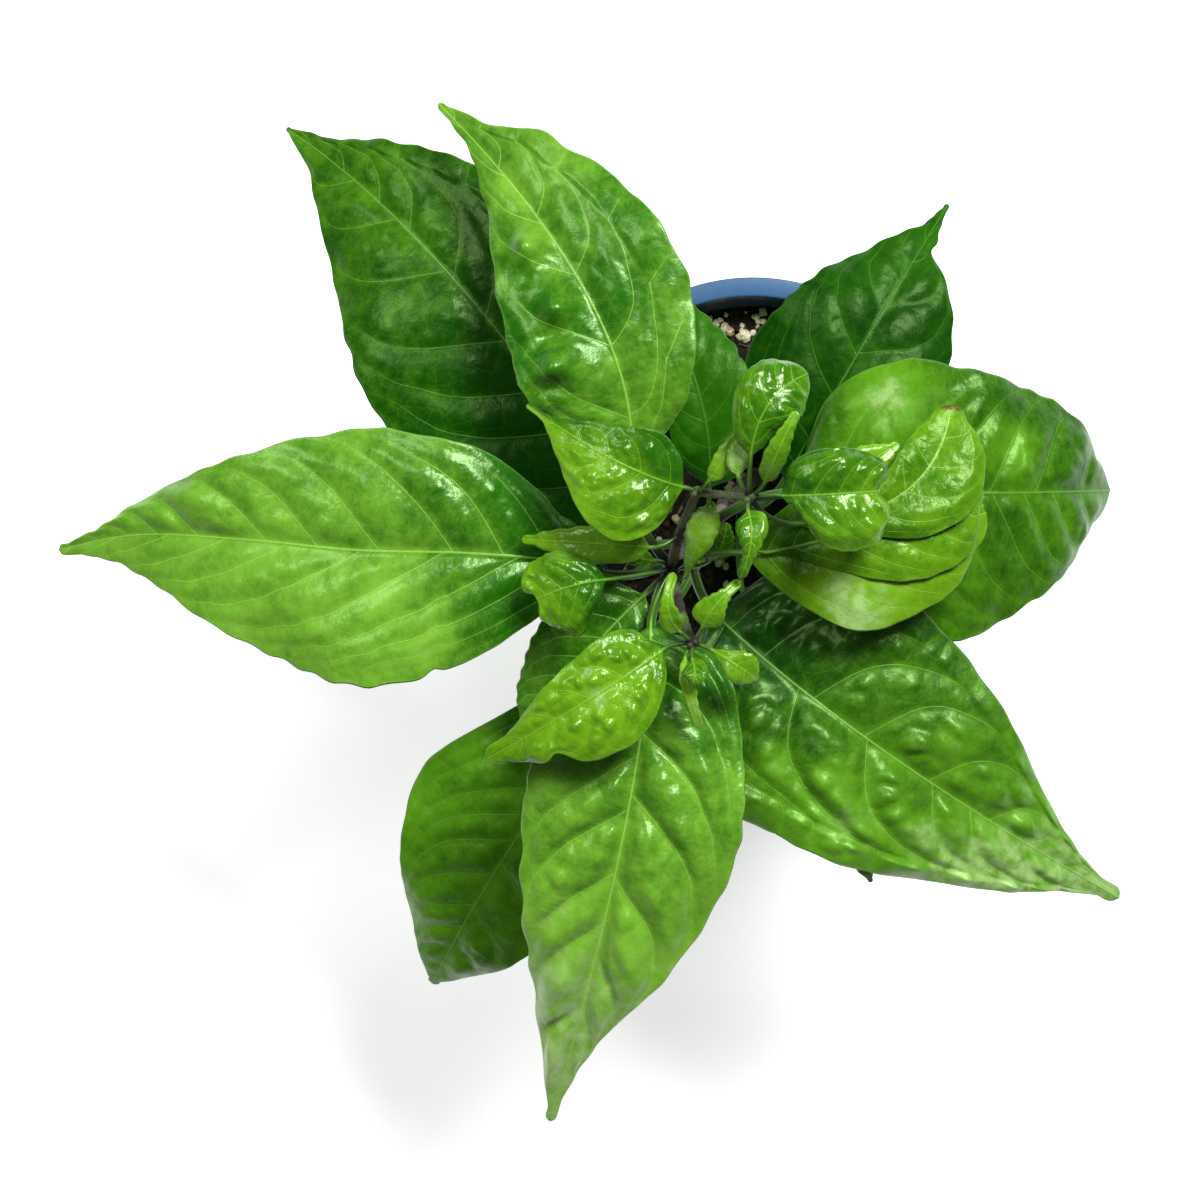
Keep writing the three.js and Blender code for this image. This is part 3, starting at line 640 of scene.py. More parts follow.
def vein_place(leaf, t, across):
    """Count of side veins passed at a place, and how many millimetres lie between two."""
    side = 0 if across > 0 else 1
    starts = leaf["veins"][side]
    slope, reach = leaf["lean"][side]
    widest = max(leaf["right"] if side else leaf["left"])
    share = min(abs(across), 1.1 * reach)
    bent = slope * (share + (share / reach) ** 5) + slope * (abs(across) - share)
    fan = (1 - t ** 3) * min(1, 0.2 + 2 * t)
    spread = widest / leaf["length"] * fan
    start = t - spread * bent
    i = min(max(sum(s <= start for s in starts) - 1, 0), len(starts) - 2)
    gap = starts[i + 1] - starts[i]
    half = max(at_share(leaf["right"] if side else leaf["left"], t), 1)
    steep = slope * (1 + 5 * share ** 4 / reach ** 5) if share < 1.1 * reach else slope
    tilt = math.hypot(1, widest * fan * steep / half)
    return i + (start - starts[i]) / gap, gap * leaf["length"] / tilt


def margin(leaf, side, t):
    """Half width on one side: drawn out and blunt at the tip, scalloped, uneven and bitten."""
    length = leaf["length"]
    half = at_share(leaf["left" if side > 0 else "right"], t)
    half *= 1 - leaf["drawn"] * math.exp(-((t - NECK_PLACE) / NECK_REACH) ** 2)
    phase = vein_place(leaf, t, 0.97 * side)[0]
    uneven = noise.noise(Vector((t * length / UNEVEN_SIZE, 9 * side, leaf["seed"])))
    edge = leaf["ragged"] * (math.sin(math.pi * phase) ** 2 - 0.5 + uneven)
    half += edge * smooth(t * 9) * smooth((1 - t) * 7)
    for bite_side, place, reach, depth in leaf["bites"]:
        if bite_side == side:
            half -= depth * math.exp(-((t - place) * length / reach) ** 2)
    if t > 0.5:
        blunt = leaf["blunt"]
        to_centre = max(0, blunt - (1 - t) * length)
        half = max(half, math.sqrt(max(0, blunt ** 2 - to_centre ** 2)))
    return max(0, half)


def blade_lift(leaf, half, t, across):
    """Height of the blade over its midrib: folded, cupped, waved, with margins turned down."""
    share = abs(across)
    full = half / max(*leaf["left"], *leaf["right"])
    height, count = leaf["wave"]
    shift = 0 if across > 0 else FAR_SIDE_SHIFT
    ripple = height * share * share * math.sin(math.tau * count * t + shift)
    rise = half * share * math.tan(math.radians(leaf["fold"]))
    turned = leaf["curl"][0 if across > 0 else 1] * smooth((share - TURN_START) / TURN_BAND)
    return rise - (leaf["cup"] * share * share + turned) * full + ripple * smooth(full * 2)


def relief(leaf, half, t, across, phase, spacing, cell):
    """Height of the fine relief: the blade puffs up between side veins and in each small cell."""
    share = abs(across)
    side = 0 if across > 0 else 1
    off_vein = abs((phase + 0.5) % 1 - 0.5) * spacing
    inside = (1 - share ** 6) * smooth(t * 9) * smooth((1 - t) * 8)
    groove = 1 - math.exp(-(off_vein / GROOVE_REACH) ** 2)
    valley = 1 - math.exp(-(share * half / RIB_VALLEY) ** 2)
    pillow = 0.55 * math.sin(math.pi * phase) ** 2 + 0.45 * groove
    pillow *= valley * min(1, spacing / FULL_SPACING)
    field = Vector((math.floor(phase) * 3.7, 5.1 * side, leaf["seed"]))
    puff = leaf["puff"][side] * (1 + 0.7 * noise.noise(field))
    pucker = leaf["pucker"] * cell
    place = Vector((share * half * math.copysign(1, across), t * leaf["length"], leaf["seed"]))
    roll = leaf["roll"] * noise.noise(place / ROLL_SIZE) * min(1, share * 2)
    crinkle = 0.4 * leaf["roll"] * noise.noise(place / CRINKLE_SIZE) * share ** 2
    wrinkle = leaf["wrinkle"] * noise.noise(place / WRINKLE_SIZE) * min(1, share * half / 3)
    return inside * (pillow * (puff + pucker) + wrinkle) + (roll + crinkle) * smooth(t * 6)


def spots(leaf, kind, t, across, half):
    """Sum of the leaf's round spots of one kind: share of length and width, reach in mm, amount."""
    total = 0
    for place, side, reach, amount in leaf[kind]:
        along = (t - place) * leaf["length"]
        off = (across - side) * half
        total += amount * math.exp(-(along * along + off * off) / reach ** 2)
    return total


def leaf_sections(leaf, rows, stalk_rows):
    """Places along the leaf: its stalk from the middle of the stem's node, then its midrib."""
    base, middle, tip = (Vector(place) for place in leaf["line"])
    centre = Vector(NODES[leaf["node"]][0])
    step = 1e-3
    start_way = (arc(base, middle, tip, step) - base).normalized()
    elbow = base - start_way * (STALK_BEND * (base - centre).length)
    foot_radius = min(STALK_THICKEST, max(STALK_THINNEST, leaf["breadth"] / USUAL_BREADTH))
    sections = []
    for i in range(stalk_rows):
        u = i / stalk_rows
        at = (1 - u) ** 2 * centre + 2 * u * (1 - u) * elbow + u * u * base
        way = (2 * (1 - u) * (elbow - centre) + 2 * u * (base - elbow)).normalized()
        swell = 1 + 0.5 * math.exp(-u * 7)
        sections.append((at, way, 0, foot_radius * swell, 1, u - 1))
    for i in range(rows + 1):
        u = i / rows
        t = u - 0.07 * math.sin(math.tau * u)
        at = arc(base, middle, tip, t)
        ahead, behind = min(1, t + step), max(0, t - step)
        way = (arc(base, middle, tip, ahead) - arc(base, middle, tip, behind)).normalized()
        rib = lerp(foot_radius, BLADE_THICKNESS / 2, min(1, t * 1.1))
        sections.append((at, way, t, rib, 1 - smooth(t * 25), t))
    return sections


def leaf_shape(leaf, rows, columns, stalk_rows):
    """Bends a fine grid round the leaf: first over its upper face, then back under it."""
    sections = leaf_sections(leaf, rows, stalk_rows)
    margins = [(margin(leaf, -1, section[2]), margin(leaf, 1, section[2])) for section in sections]
    shape = bmesh.new()
    place_layer = shape.verts.layers.float_vector.new("place")
    form_layer = shape.verts.layers.float_vector.new("form")
    vein_layer = shape.verts.layers.float_vector.new("veins")
    shade_and_tone_layer = shape.verts.layers.float.new("tone")
    bmesh.ops.create_grid(shape, x_segments=2 * columns, y_segments=len(sections) - 1, size=1)
    for vert in shape.verts:
        ring = round((vert.co.x + 1) * columns)
        row = round((vert.co.y + 1) / 2 * (len(sections) - 1))
        at, way, t, rib, stalk, along = sections[row]
        under = ring > columns
        u = 2 * (2 * columns - ring if under else ring) / columns - 1
        across = math.copysign(lerp(abs(u), smooth(abs(u)), 0.5), u)
        half = margins[row][1 if across > 0 else 0]
        width = max(half, rib)
        phase, spacing = vein_place(leaf, t, across)
        here = Vector((across * width, t * leaf["length"], leaf["seed"]))
        near, centres = noise.voronoi(here / leaf["cell"])
        cell = smooth((near[1] - near[0]) * 1.7) * (0.85 + 0.9 * noise.noise(centres[0] * 2.3))
        lift = blade_lift(leaf, half, t, across) + spots(leaf, "humps", t, across, half)
        lift += (1 - stalk) * relief(leaf, half, t, across, phase, spacing, cell)
        edge = BLADE_THICKNESS / 2 * math.sqrt(max(0, 1 - across ** 12))
        off_rib = abs(across) * width
        ridge = rib * math.exp(-(off_rib / (0.8 * rib)) ** 2)
        flat = edge + (ridge if under else 0.35 * ridge)
        thick = lerp(flat, math.sqrt(max(0, 1 - across * across)) * rib, stalk)
        side = Vector((0, 0, 1)).cross(way).normalized()
        normal = way.cross(side)
        sway = at_share(leaf["sway"], t) * (1 - across * across)
        droop = leaf["droop"] * max(0, 5 * t - 4) ** 2
        # Tone: lighter and darker parts of each leaf, partly its own colour and partly painted light
        # and shade. The sheen spots add painted highlights.
        tone = lerp(leaf["tone"][0], leaf["tone"][1], smooth(t * 2))
        tone = lerp(tone, leaf["tone"][2], smooth(t * 2 - 1)) + leaf["tone"][3] * across
        tone += spots(leaf, "pale", t, across, half)
        vert[place_layer] = here
        vert[form_layer] = (across, along, 1 if under else 0)
        vert[vein_layer] = (phase, spacing, smooth((t - 1 + leaf["dry"]) / DRY_EDGE))
        vert[shade_and_tone_layer] = tone
        lift += -thick if under else thick
        split = leaf["notch"] * smooth(t * 4 - 3) * math.exp(-(off_rib / NOTCH_REACH) ** 2)
        back = way * (0.6 * droop + split)
        out = side * (across * width + sway)
        vert.co = (at - back + out + normal * (lift - droop)) * MM
    bmesh.ops.remove_doubles(shape, verts=shape.verts, dist=1e-6)
    bmesh.ops.holes_fill(shape, edges=shape.edges, sides=0)
    bmesh.ops.recalc_face_normals(shape, faces=shape.faces)
    return shape


def grow_leaf(name, node, line, left, right, fold, cup, wave, paint, slot, cells=(150, 72), **traits):
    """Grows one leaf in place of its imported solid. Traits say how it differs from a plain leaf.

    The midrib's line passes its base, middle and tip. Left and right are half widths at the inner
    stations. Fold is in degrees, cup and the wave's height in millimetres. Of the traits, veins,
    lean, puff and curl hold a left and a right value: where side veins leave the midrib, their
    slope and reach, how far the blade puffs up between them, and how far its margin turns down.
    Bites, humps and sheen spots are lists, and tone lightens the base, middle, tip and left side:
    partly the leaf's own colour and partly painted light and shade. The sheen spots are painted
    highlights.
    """
    base, middle, tip = (Vector(place) for place in line)
    steps = 40
    points = [arc(base, middle, tip, i / steps) for i in range(steps + 1)]
    breadth = max(left) + max(right)
    leaf = {
        "node": node, "line": line, "left": left, "right": right, "fold": fold, "cup": cup,
        "wave": wave, "veins": (PLAIN_VEINS, PLAIN_VEINS), "lean": ((0.8, 0.9), (0.8, 0.9)),
        "puff": (0.8, 0.8), "pucker": 0.4, "roll": 0.8, "wrinkle": 0.12, "curl": (0.4, 0.4),
        "sway": (0, 0, 0, 0, 0), "ragged": 0.5, "drawn": 0.25, "blunt": 0.7, "bites": (),
        "tone": (0, 0, 0, 0), "dry": 0, "breadth": breadth,
        "cell": CELL_SIZE * min(1, breadth / USUAL_BREADTH + 0.25), "droop": 0, "notch": 0,
        "humps": (), "pale": (),
        "length": sum((b - a).length for a, b in zip(points, points[1:])),
        "seed": FIRST_SEED + sum(base) + len(name),
    }
    leaf.update(traits)
    rows, columns = cells
    shape = leaf_shape(leaf, rows, columns, max(6, rows // 9))
    return put_piece(name + "_blade", shape, paint, slot, name)


VEIN_GREEN = (0.27, 0.5, 0.08, 1)
SHEEN_AND_PALE_GREEN = (0.26, 0.41, 0.13, 1)
UNDER_GREEN = (0.17, 0.33, 0.09, 1)
STALK_GREEN = (0.035, 0.085, 0.012, 1)
STALK_FOOT_PURPLE_AND_SHADE = (0.012, 0.010, 0.010, 1)
DRIED_BROWN = (0.075, 0.035, 0.008, 1)
OLD_SHEEN = (0.62, 1, 0.36, 1)


def leaf_paint(name, deep, fresh, vein, rough, gloss, sheen=OLD_SHEEN, coat=0.0, bumps=0.00009,
               rib_width=0.4, grain=0.2):
    """Living leaf: mottled greens partly lit and shaded by painted tone, light veins, faint cells,
    painted sheens and paler tips, a paler underside, a stalk foot darkened with purple and painted
    shade.
    """
    paint, wire, surface = begin_paint(name, Specular_IOR_Level=gloss, Specular_Tint=sheen,
                                       Coat_Weight=coat, Coat_Roughness=0.14)
    place, form, veins = (wire.node("Attribute", {"attribute_name": layer}, {}, "Vector")
                          for layer in ("place", "form", "veins"))
    tone = wire.node("Attribute", {"attribute_name": "tone"}, {}, "Fac")
    across, along, under = (wire.node("SeparateXYZ", {}, {"Vector": form}, i) for i in range(3))
    phase, spacing, dry = (wire.node("SeparateXYZ", {}, {"Vector": veins}, i) for i in range(3))
    off_rib = abs(wire.node("SeparateXYZ", {}, {"Vector": place}, 0))
    share = abs(across)
    off_vein = abs(wire.math("FRACT", phase + 0.5) - 0.5) * spacing
    vein_line = off_vein.fade(rib_width * (0.55 - 0.35 * share), 0.04) * share.fade(1.0, 0.7)
    rib_line = off_rib.fade(rib_width * (1 - 0.6 * along), 0.1)
    line = wire.math("MAXIMUM", vein_line * 0.75, rib_line * 0.95)
    halo = wire.math("MAXIMUM", off_vein.fade(2.2, 0.0), off_rib.fade(3.5, 0.0))
    cloud = wire.noise(place, 0.075, 3, 0.55)
    mottle = wire.noise(place, 0.3, 3, 0.6)
    fleck = wire.noise(place, 1.1, 4, 0.65)
    drift = wire.node("TexNoise", {}, {"Vector": place, "Scale": 0.3, "Detail": 2.0}, "Color")
    bent = wire.node("VectorMath", {"operation": "MULTIPLY_ADD"}, {0: drift, 1: (3, 3, 0), 2: place})
    cells = {"Vector": bent, "Scale": grain}
    edge = wire.node("TexVoronoi", {"feature": "DISTANCE_TO_EDGE"}, cells, "Distance")
    # Shade mixes the per-leaf tone, which is partly painted light and shade, with random mottling.
    shade = 0.45 + tone + (cloud - 0.5) * 1.1 + (mottle - 0.5) * 0.5 + (fleck - 0.5) * 0.5 + halo * 0.1
    colour = shade.fade(-0.1, 1.1).mix(deep, fresh)
    # Where shade runs high, a mottled light green: painted sheens at the sheen spots, and paler tips.
    colour = (shade.fade(0.9, 1.9) * mottle.fade(0.25, 0.65)).mix(colour, SHEEN_AND_PALE_GREEN)
    colour = (edge.fade(0.04, 0.0) * 0.07).mix(colour, vein)
    colour = (line * 0.6).mix(colour, vein)
    colour = (share.fade(0.97, 1.0) * 0.25).mix(colour, vein)
    colour = (under * 0.5).mix(colour, UNDER_GREEN)
    colour = (along.fade(0.03, -0.2) * 0.75).mix(colour, STALK_GREEN)
    # Near-black at the stalk's foot by the stem: partly purple and partly painted shade.
    colour = along.fade(-0.45, -0.9).mix(colour, STALK_FOOT_PURPLE_AND_SHADE)
    colour = (dry * 0.9).mix(colour, DRIED_BROWN)
    height = fleck * 0.45 + mottle * 2.0 + edge.fade(0.0, 0.3) * 0.5 + line * 0.5
    feed(wire, surface, colour, rough + 0.14 * (fleck - 0.4) + 0.12 * under, height, bumps)
    return paint


old_leaf = leaf_paint("leaf_old", deep=(0.003, 0.044, 0.0008, 1), fresh=(0.072, 0.22, 0.006, 1),
                      vein=(0.13, 0.31, 0.045, 1), rough=0.3, gloss=0.26)
glossy_leaf = leaf_paint("leaf_glossy", deep=(0.003, 0.044, 0.0008, 1), fresh=(0.076, 0.225, 0.007, 1),
                         vein=(0.2, 0.42, 0.07, 1), rough=0.37, gloss=0.5)
deep_leaf = leaf_paint("leaf_deep", deep=(0.002, 0.03, 0.0006, 1), fresh=(0.017, 0.1, 0.002, 1),
                       vein=(0.06, 0.18, 0.016, 1), rough=0.34, gloss=0.14)
mid_leaf = leaf_paint("leaf_mature", deep=(0.010, 0.09, 0.001, 1), fresh=(0.14, 0.335, 0.024, 1),
                      vein=VEIN_GREEN, rough=0.26, gloss=0.36, sheen=(0.7, 1, 0.5, 1), rib_width=0.42)

# Each leaf's tone is partly its own colour and partly painted light and shade. Its sheen spots are
# painted highlights.
grow_leaf("leaf_west", "fourth", ((-29.5, -20, 167), (-93, -14, 176), (-166, -16, 150)),
          left=(8, 24.8, 31.4, 23, 7), right=(12, 25, 28, 21, 11.3),
          fold=12, cup=6, wave=(1.8, 3), paint=mid_leaf, slot="leaf_mature",
          veins=((0.06, 0.16, 0.295, 0.44, 0.57, 0.68, 0.785, 0.88),
                 (0.1, 0.19, 0.28, 0.41, 0.52, 0.61, 0.735, 0.81, 0.865)),
          lean=((2.0, 1.1), (0.95, 1.1)), puff=(0.8, 1.3), sway=(-1.5, -1.2, 0, -1.6, -2.8),
          pucker=0.5, bites=((1, 0.3, 2, 1.2), (-1, 0.1, 3, 1.6)), curl=(0.6, 0.6), blunt=1.5,
          tone=(-0.7, 0.2, 0.3, 0.1), pale=((0.39, 0.3, 7, 0.5), (0.3, 0.75, 6, 0.5)))
grow_leaf("leaf_northwest", "third", ((-24, -11, 147), (-65.5, 47, 154), (-112, 87, 134)),
          left=(20, 34, 34.5, 25, 10.2), right=(20, 32, 30, 22, 8.6),
          fold=8, cup=5, wave=(1.5, 2.5), paint=old_leaf, slot="leaf_old",
          veins=((0.09, 0.19, 0.27, 0.375, 0.54, 0.68, 0.8),
                 (0.1, 0.2, 0.32, 0.43, 0.52, 0.645, 0.73, 0.83)),
          lean=((0.75, 1.0), (0.75, 0.65)), puff=(1.0, 0.8), tone=(-1.2, -0.3, 0.0, 0.05))
grow_leaf("leaf_north", "fork", ((-23, 4, 176), (-31, 42, 184), (-68.5, 88.5, 166)),
          left=(11, 21, 22, 16.5, 5.5), right=(5, 15, 21.8, 20.5, 11.6),
          fold=14, cup=4, wave=(1.2, 3.5), paint=mid_leaf, slot="leaf_mature",
          veins=((0.06, 0.17, 0.38, 0.57, 0.7, 0.82), (0.05, 0.18, 0.38, 0.575, 0.72, 0.84)),
          lean=((1.2, 1.0), (0.7, 0.55)), puff=(1.0, 0.6), pucker=0.3, roll=0.6, ragged=0.7,
          drawn=0.3, curl=(0.4, 0), blunt=1.0, dry=0.006,
          humps=((0.67, 0.4, 3.6, 3.2), (0.52, 0.35, 3.6, 3.2), (0.38, 0.6, 4, 3.2),
                 (0.63, 0.6, 3, -1.8), (0.47, 0.55, 3, -1.8), (0.33, 0.75, 3, -1.8)),
          tone=(-0.05, -0.25, 0, -0.1), pale=((0.78, 0.15, 5, 0.5), (0.68, 0.2, 4, 0.5)))
grow_leaf("leaf_north_inner", "third", ((-6, 0, 160), (-8.5, 23, 165), (-20.5, 47, 158)),
          left=scaled(OVAL, 9), right=scaled(OVAL, 12.5),
          fold=8, cup=2, wave=(0.6, 2), paint=deep_leaf, slot="leaf_old", cells=(80, 40),
          tone=(0.1, 0.3, 0.3, 0))
grow_leaf("leaf_northeast", "second", ((11, 1.5, 144), (30, 34.5, 150), (49, 67, 134)),
          left=(12, 22.5, 22, 16.5, 6), right=(10, 19, 20.8, 17.5, 4.5),
          fold=8, cup=5, wave=(1.5, 2.5), paint=deep_leaf, slot="leaf_old",
          veins=((0.06, 0.15, 0.3, 0.44, 0.6, 0.75, 0.86), (0.06, 0.15, 0.3, 0.45, 0.62, 0.78, 0.88)),
          puff=(0.7, 0.7), pucker=0.3, drawn=0.3, bites=((-1, 0.84, 2.5, 2),),
          tone=(-0.4, -0.3, 0.2, 0))
grow_leaf("leaf_east", "third", ((12.5, -1.5, 150), (56, -1, 164), (88, -1, 136)),
          left=(22, 30.5, 28.8, 24.8, 17.5), right=(20, 31, 34.2, 28.2, 16.5),
          fold=5, cup=7, wave=(1.4, 2.5), paint=old_leaf, slot="leaf_old",
          veins=((0.1, 0.25, 0.4, 0.53, 0.68, 0.86), (0.1, 0.25, 0.4, 0.54, 0.64, 0.74, 0.85)),
          lean=((0.6, 1.0), (0.65, 1.0)), puff=(1.1, 1.4), pucker=0.5, blunt=8, drawn=0,
          tone=(0.1, 0.0, -0.15, -0.1), pale=((0.24, 0.72, 8, 1.1), (0.62, 0.4, 5, 0.6)))
grow_leaf("leaf_southeast", "fourth", ((-5, -29, 160), (34, -59.5, 168), (91.5, -99, 138)),
          left=(20, 30.7, 30.5, 23, 8.3), right=(20, 32.8, 30.5, 24, 11),
          fold=10, cup=5, wave=(1.6, 3.5), paint=glossy_leaf, slot="leaf_old",
          veins=((0.07, 0.18, 0.33, 0.46, 0.61, 0.74, 0.82), (0.05, 0.13, 0.29, 0.47, 0.62, 0.7, 0.81)),
          lean=((0.5, 0.75), (0.65, 0.7)), puff=(1.1, 3.0), pucker=2.0, cell=6, wrinkle=0.25,
          ragged=0.3, drawn=0.1, blunt=2.2, tone=(-0.85, 0.05, 1.3, -0.3),
          pale=((0.35, -0.52, 5, 0.6), (0.46, -0.38, 5, 0.5), (0.53, -0.57, 6, 0.6),
                (0.65, -0.42, 4, 0.7), (0.75, -0.57, 5, 0.7), (0.79, -0.38, 3.5, 0.6),
                (0.6, 0.4, 5, 0.4)))
grow_leaf("leaf_south", "fork", ((-18.5, -31.5, 172), (-24.5, -81, 180), (-45.5, -155, 147)),
          left=(16, 22.5, 26.4, 20.8, 6.5), right=(10, 20, 24.3, 19.6, 10),
          fold=10, cup=5, wave=(1.4, 3), paint=mid_leaf, slot="leaf_mature",
          veins=((0.04, 0.13, 0.27, 0.4, 0.565, 0.71, 0.81),
                 (0.07, 0.18, 0.32, 0.43, 0.555, 0.65, 0.8)),
          lean=((0.95, 0.95), (1.1, 1.1)), puff=(2.6, 2.6), pucker=1.3, cell=7, drawn=0.1,
          blunt=1.4, tone=(-0.4, 0.15, 1.6, 0))
grow_leaf("leaf_southwest", "second", ((-22, -38, 134), (-57.5, -91, 134), (-81.5, -131, 108)),
          left=(10, 18, 22.5, 20, 11.5), right=(6, 19, 29.3, 23.4, 11.2),
          fold=8, cup=5, wave=(1.4, 3), paint=old_leaf, slot="leaf_old",
          veins=((0.06, 0.15, 0.28, 0.42, 0.53, 0.68, 0.8),
                 (0.08, 0.2, 0.33, 0.4, 0.47, 0.57, 0.67, 0.745, 0.82)),
          lean=((0.8, 0.9), (0.75, 0.9)), puff=(1.3, 1.3), drawn=0, blunt=1.6,
          ragged=0.15, tone=(0.1, 0.2, 0.3, -0.1))
grow_leaf("leaf_southeast_low", "first", ((2, -36, 118), (17.5, -72, 122), (32, -102, 106)),
          left=scaled(OVAL, 16), right=(10, 15, 14, 9.5, 4.5),
          fold=8, cup=4, wave=(1.0, 2.5), paint=deep_leaf, slot="leaf_old",
          tone=(0, 0, 0.8, 0))

# The middle leaves: softer and lighter than the old ones, one beside the lower fork and three
# that lie one above the other on the east side. The front one has a brown, dried tip.
grow_leaf("leaf_southwest_inner", "fork", ((-21, -25, 163), (-36, -41, 164), (-51, -61, 155)),
          left=scaled(OVAL, 15), right=scaled(OVAL, 13),
          fold=10, cup=2, wave=(0.6, 2), paint=mid_leaf, slot="leaf_mature", cells=(80, 40),
          tone=(-0.3, -0.2, -0.2, 0))
FEW_VEINS = (0.1, 0.3, 0.5, 0.68, 0.84)
young_leaf = leaf_paint("leaf_young", deep=(0.016, 0.1, 0.0012, 1), fresh=(0.118, 0.275, 0.006, 1),
                        vein=(0.3, 0.52, 0.1, 1), rough=0.27, gloss=0.22, sheen=(0.75, 1, 0.45, 1),
                        bumps=0.00015)
for name, node, line, left, right, fold, cup, traits in (
    ("leaf_east_back", "fork", ((3.5, -14, 182), (29, -12, 187), (57, -5, 178)),
     (6, 12, 15, 13, 9), (5, 12.5, 19, 18, 13), 8, 4,
     {"blunt": 8, "tone": (-0.3, 0.1, 0.1, -0.2), "pale": ((0.45, -0.66, 8, 1.2),)}),
    ("leaf_east_middle", "east", ((9.5, -13.5, 186.5), (33.5, -7, 188.8), (55.5, 2, 180.3)),
     (3, 7, 8, 7, 5.5), (2, 7, 12.5, 15, 12.5), 10, 3,
     {"blunt": 6, "curl": (0.4, 0.6), "tone": (-0.3, 0, -0.1, -0.1)}),
    ("leaf_east_front", "east", ((15, -7, 191.5), (39, 0, 189.5), (49, 19, 183.5)),
     (1.5, 4, 5.8, 7, 6), (2, 4.8, 10.3, 13.2, 9.3), 14, 2,
     {"blunt": 4, "dry": 0.03, "curl": (0.4, 1.6), "tone": (-0.3, -0.1, 0, 0)}),
):
    grow_leaf(name, node, line, left, right, fold, cup, wave=(0.4, 2), paint=young_leaf,
              slot="leaf_young", cells=(110, 56), veins=(FEW_VEINS, FEW_VEINS), puff=(0.5, 0.5),
              ragged=0.2, drawn=0, **traits)

# The young leaves of the growing tips: small, yellow-green, glossy and puckered, still unfolding
# from the side shoots. The smallest are plain narrow blades round the buds.
tender_leaf = leaf_paint("leaf_tender", deep=(0.012, 0.09, 0.001, 1), fresh=(0.122, 0.29, 0.006, 1),
                         vein=(0.18, 0.38, 0.035, 1), rough=0.2, gloss=0.34, sheen=(0.85, 1, 0.6, 1),
                         coat=0.08, bumps=0.00015, rib_width=0.35, grain=0.28)
UNFOLDING = {"puff": (0.9, 0.9), "pucker": 0.8, "wrinkle": 0.35, "cell": 3.2, "ragged": 0.2}
for name, node, line, left, right, fold, cup, wave, traits in (
    ("shoot_leaf_southwest", "south", ((-14, -35, 194), (-29.5, -45.5, 199), (-54, -60.5, 190)),
     (5, 11, 13.5, 12, 6), (7.5, 10, 9.5, 7.5, 3.5), 12, 3, (0.8, 3),
     {"bites": ((1, 0.74, 2.2, 3),), "drawn": 0, "blunt": 2.5, "pucker": 2.2, "cell": 3.8,
      "tone": (0, 0.15, 0.3, 0), "pale": ((0.45, 0.1, 4, 0.6),)}),
    ("shoot_leaf_northwest", "north", ((-9.5, 1, 194), (-25, 7.5, 200), (-44.5, 19, 190)),
     (10, 16, 15, 10, 2.5), (6, 9.5, 8.5, 5.5, 1.5), 10, 3, (0.8, 2.5),
     {"puff": (1.1, 0.7), "pucker": 2.0, "cell": 3.8, "curl": (0.4, -0.8),
      "tone": (-0.25, -0.05, 0.1, 0.5)}),
    ("shoot_leaf_west_cupped", "fork", ((-27.5, -20, 186), (-37, -22, 189), (-47.5, -27, 184)),
     (4.5, 8.5, 11, 11, 8), (3.5, 6.5, 8.5, 8.5, 7), 8, 3, (0.9, 2),
     {"blunt": 6, "drawn": 0, "puff": (1.2, 1.2), "curl": (2.5, 2.5), "notch": 5, "droop": 1.5,
      "pucker": 1.4, "tone": (-0.6, -0.1, 0.5, -0.1)}),
    ("shoot_leaf_east", "east", ((12.5, -0.5, 203), (24.5, 0, 207), (38.5, 1, 201)),
     (5.5, 9, 9.8, 9.5, 6.8), (3, 8, 12, 12.5, 9.5), 18, 3, (0.8, 2.5),
     {"blunt": 6, "drawn": 0, "bites": ((-1, 0.12, 1.6, 2),), "droop": 1.5, "notch": 5,
      "curl": (1.5, 2), "pucker": 1.8, "cell": 3.6, "tone": (-0.4, -0.25, 0, -0.25)}),
    ("shoot_leaf_north_round", "east", ((6, 8, 207), (10, 19, 212), (18, 25.5, 207)),
     (3.2, 5.8, 7.8, 8, 6.2), (2.2, 3.8, 5.6, 7, 6), 10, 3, (0.6, 2),
     {"blunt": 6, "drawn": 0, "pucker": 1.2, "tone": (-0.4, -0.3, -0.3, 0)}),
):
    grow_leaf(name, node, line, left, right, fold, cup, wave, tender_leaf, "leaf_young",
              cells=(100, 48), veins=(FEW_VEINS, FEW_VEINS), **(UNFOLDING | traits))
# The last column is each blade's tone, partly its own colour and partly painted light and shade.
NARROW_TIP = (0.85, 1, 0.82, 0.5, 0.25)
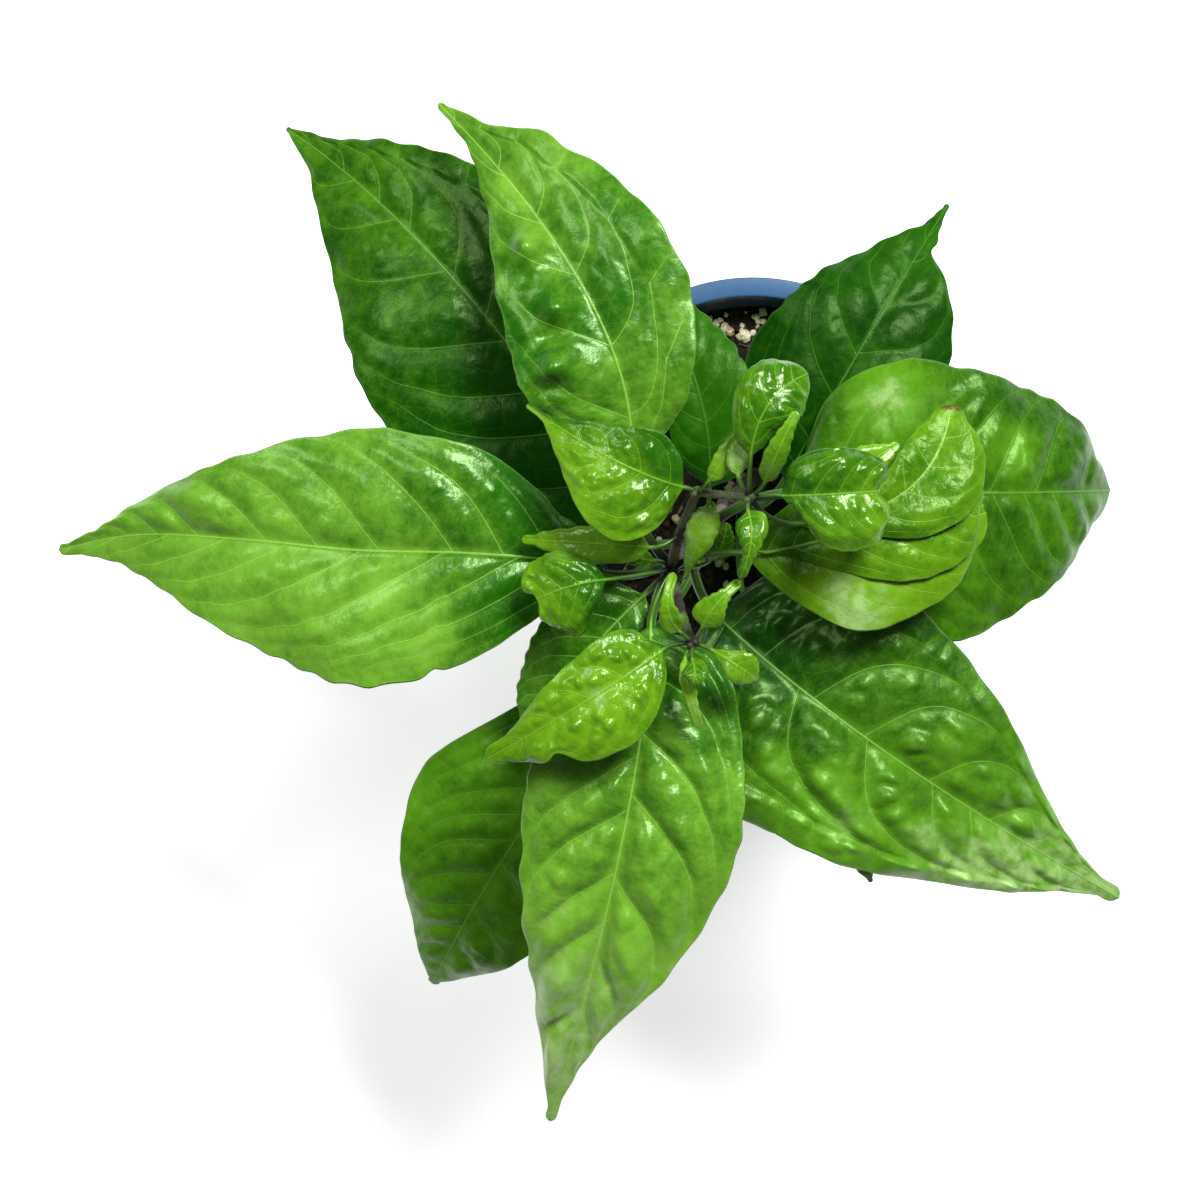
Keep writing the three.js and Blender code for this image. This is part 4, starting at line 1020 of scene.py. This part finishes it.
for name, node, line, shape, left, right, fold, cup, wave, tone in (
    ("shoot_leaf_west_narrow", "northLow", ((-18, -13, 181), (-31.5, -12, 184), (-47.5, -11.5, 179)),
     OVAL, 4.5, 4, 10, 1, (0.3, 2), 0.3),
    ("shoot_leaf_north_narrow", "north", ((-3.5, 2.5, 198), (0, 7.5, 201.5), (4, 15, 200.6)),
     OVAL, 2.2, 2.2, 8, 0.4, (0, 1), 0.5),
    ("shoot_leaf_northeast_narrow", "east", ((9, 2.5, 204.5), (12, 9, 212.5), (16, 17.5, 214)),
     OVAL, 2.6, 2.4, 16, 0.5, (0, 1), 0.1),
    ("shoot_leaf_south_narrow", "east", ((5.2, -4, 201), (6, -10.5, 204), (3.5, -18.5, 200)),
     NARROW_TIP, 3.6, 3.4, 12, 0.8, (0.2, 2), -0.2),
    ("shoot_leaf_north_curled", "east", ((3, 4, 202), (3.4, 8.3, 204), (5.6, 12, 202)),
     OVAL, 2.8, 2.8, 10, 0.6, (0.2, 2), 1.0),
    ("shoot_leaf_east_small", "east", ((18.5, 0.5, 195), (28, 5, 198), (37.5, 10.5, 196)),
     OVAL, 4.5, 4.5, 12, 0.8, (0.3, 2), 0.1),
    ("shoot_leaf_centre", "fork", ((-10.2, -19.5, 176), (-7, -11, 184), (-3.5, -2.5, 185)),
     SPOON, 3.4, 3.8, 12, 0.8, (0.3, 2), 0.7),
    ("shoot_leaf_centre_small", "fork", ((-4.5, -16, 172), (-2, -12.3, 176), (-1, -7.5, 177)),
     OVAL, 2.8, 2.8, 14, 0.5, (0, 1), -0.1),
    ("shoot_leaf_west_tiny", "fork", ((-18, -16.5, 171), (-22, -15.5, 174), (-27.5, -13, 174)),
     OVAL, 2.2, 2.2, 14, 0.4, (0, 1), -0.2),
    ("south_shoot_leaf_north", "south", ((-5, -29.5, 194.5), (-1.8, -24.5, 198), (3.3, -19.5, 196)),
     NARROW_TIP, 3.7, 3.6, 12, 0.8, (0.2, 2), 0.1),
    ("south_shoot_leaf_east", "south", ((-3, -35, 193), (2.5, -38, 196), (7, -41.5, 192)),
     SPOON, 3.9, 3.9, 16, 0.8, (0.3, 2), 0.2),
    ("south_shoot_leaf_northwest", "south", ((-10, -30.5, 197), (-12, -25, 203), (-11, -17.5, 201)),
     NARROW_TIP, 2.6, 2.6, 14, 0.6, (0.2, 2), 0.2),
    ("south_shoot_leaf_south", "south", ((-9, -37, 193), (-8, -43.5, 195.5), (-6, -52.5, 191)),
     OVAL, 1.7, 1.7, 24, 0.3, (0, 1), 0.6),
    ("south_shoot_leaf_tiny", "south", ((-7, -37, 197), (-6.3, -39.5, 200.5), (-7, -42, 200)),
     OVAL, 3, 3, 14, 0.5, (0, 1), -0.1),
):
    grow_leaf(name, node, line, scaled(shape, left), scaled(shape, right), fold, cup, wave, tender_leaf,
              "leaf_young", puff=(0.25, 0.25), pucker=0.5, cell=2.6, roll=0.3, wrinkle=0.2, ragged=0.3,
              veins=(FEW_VEINS, FEW_VEINS), drawn=0, blunt=1.2, tone=(tone, tone, tone, 0.15),
              cells=(48, 24))
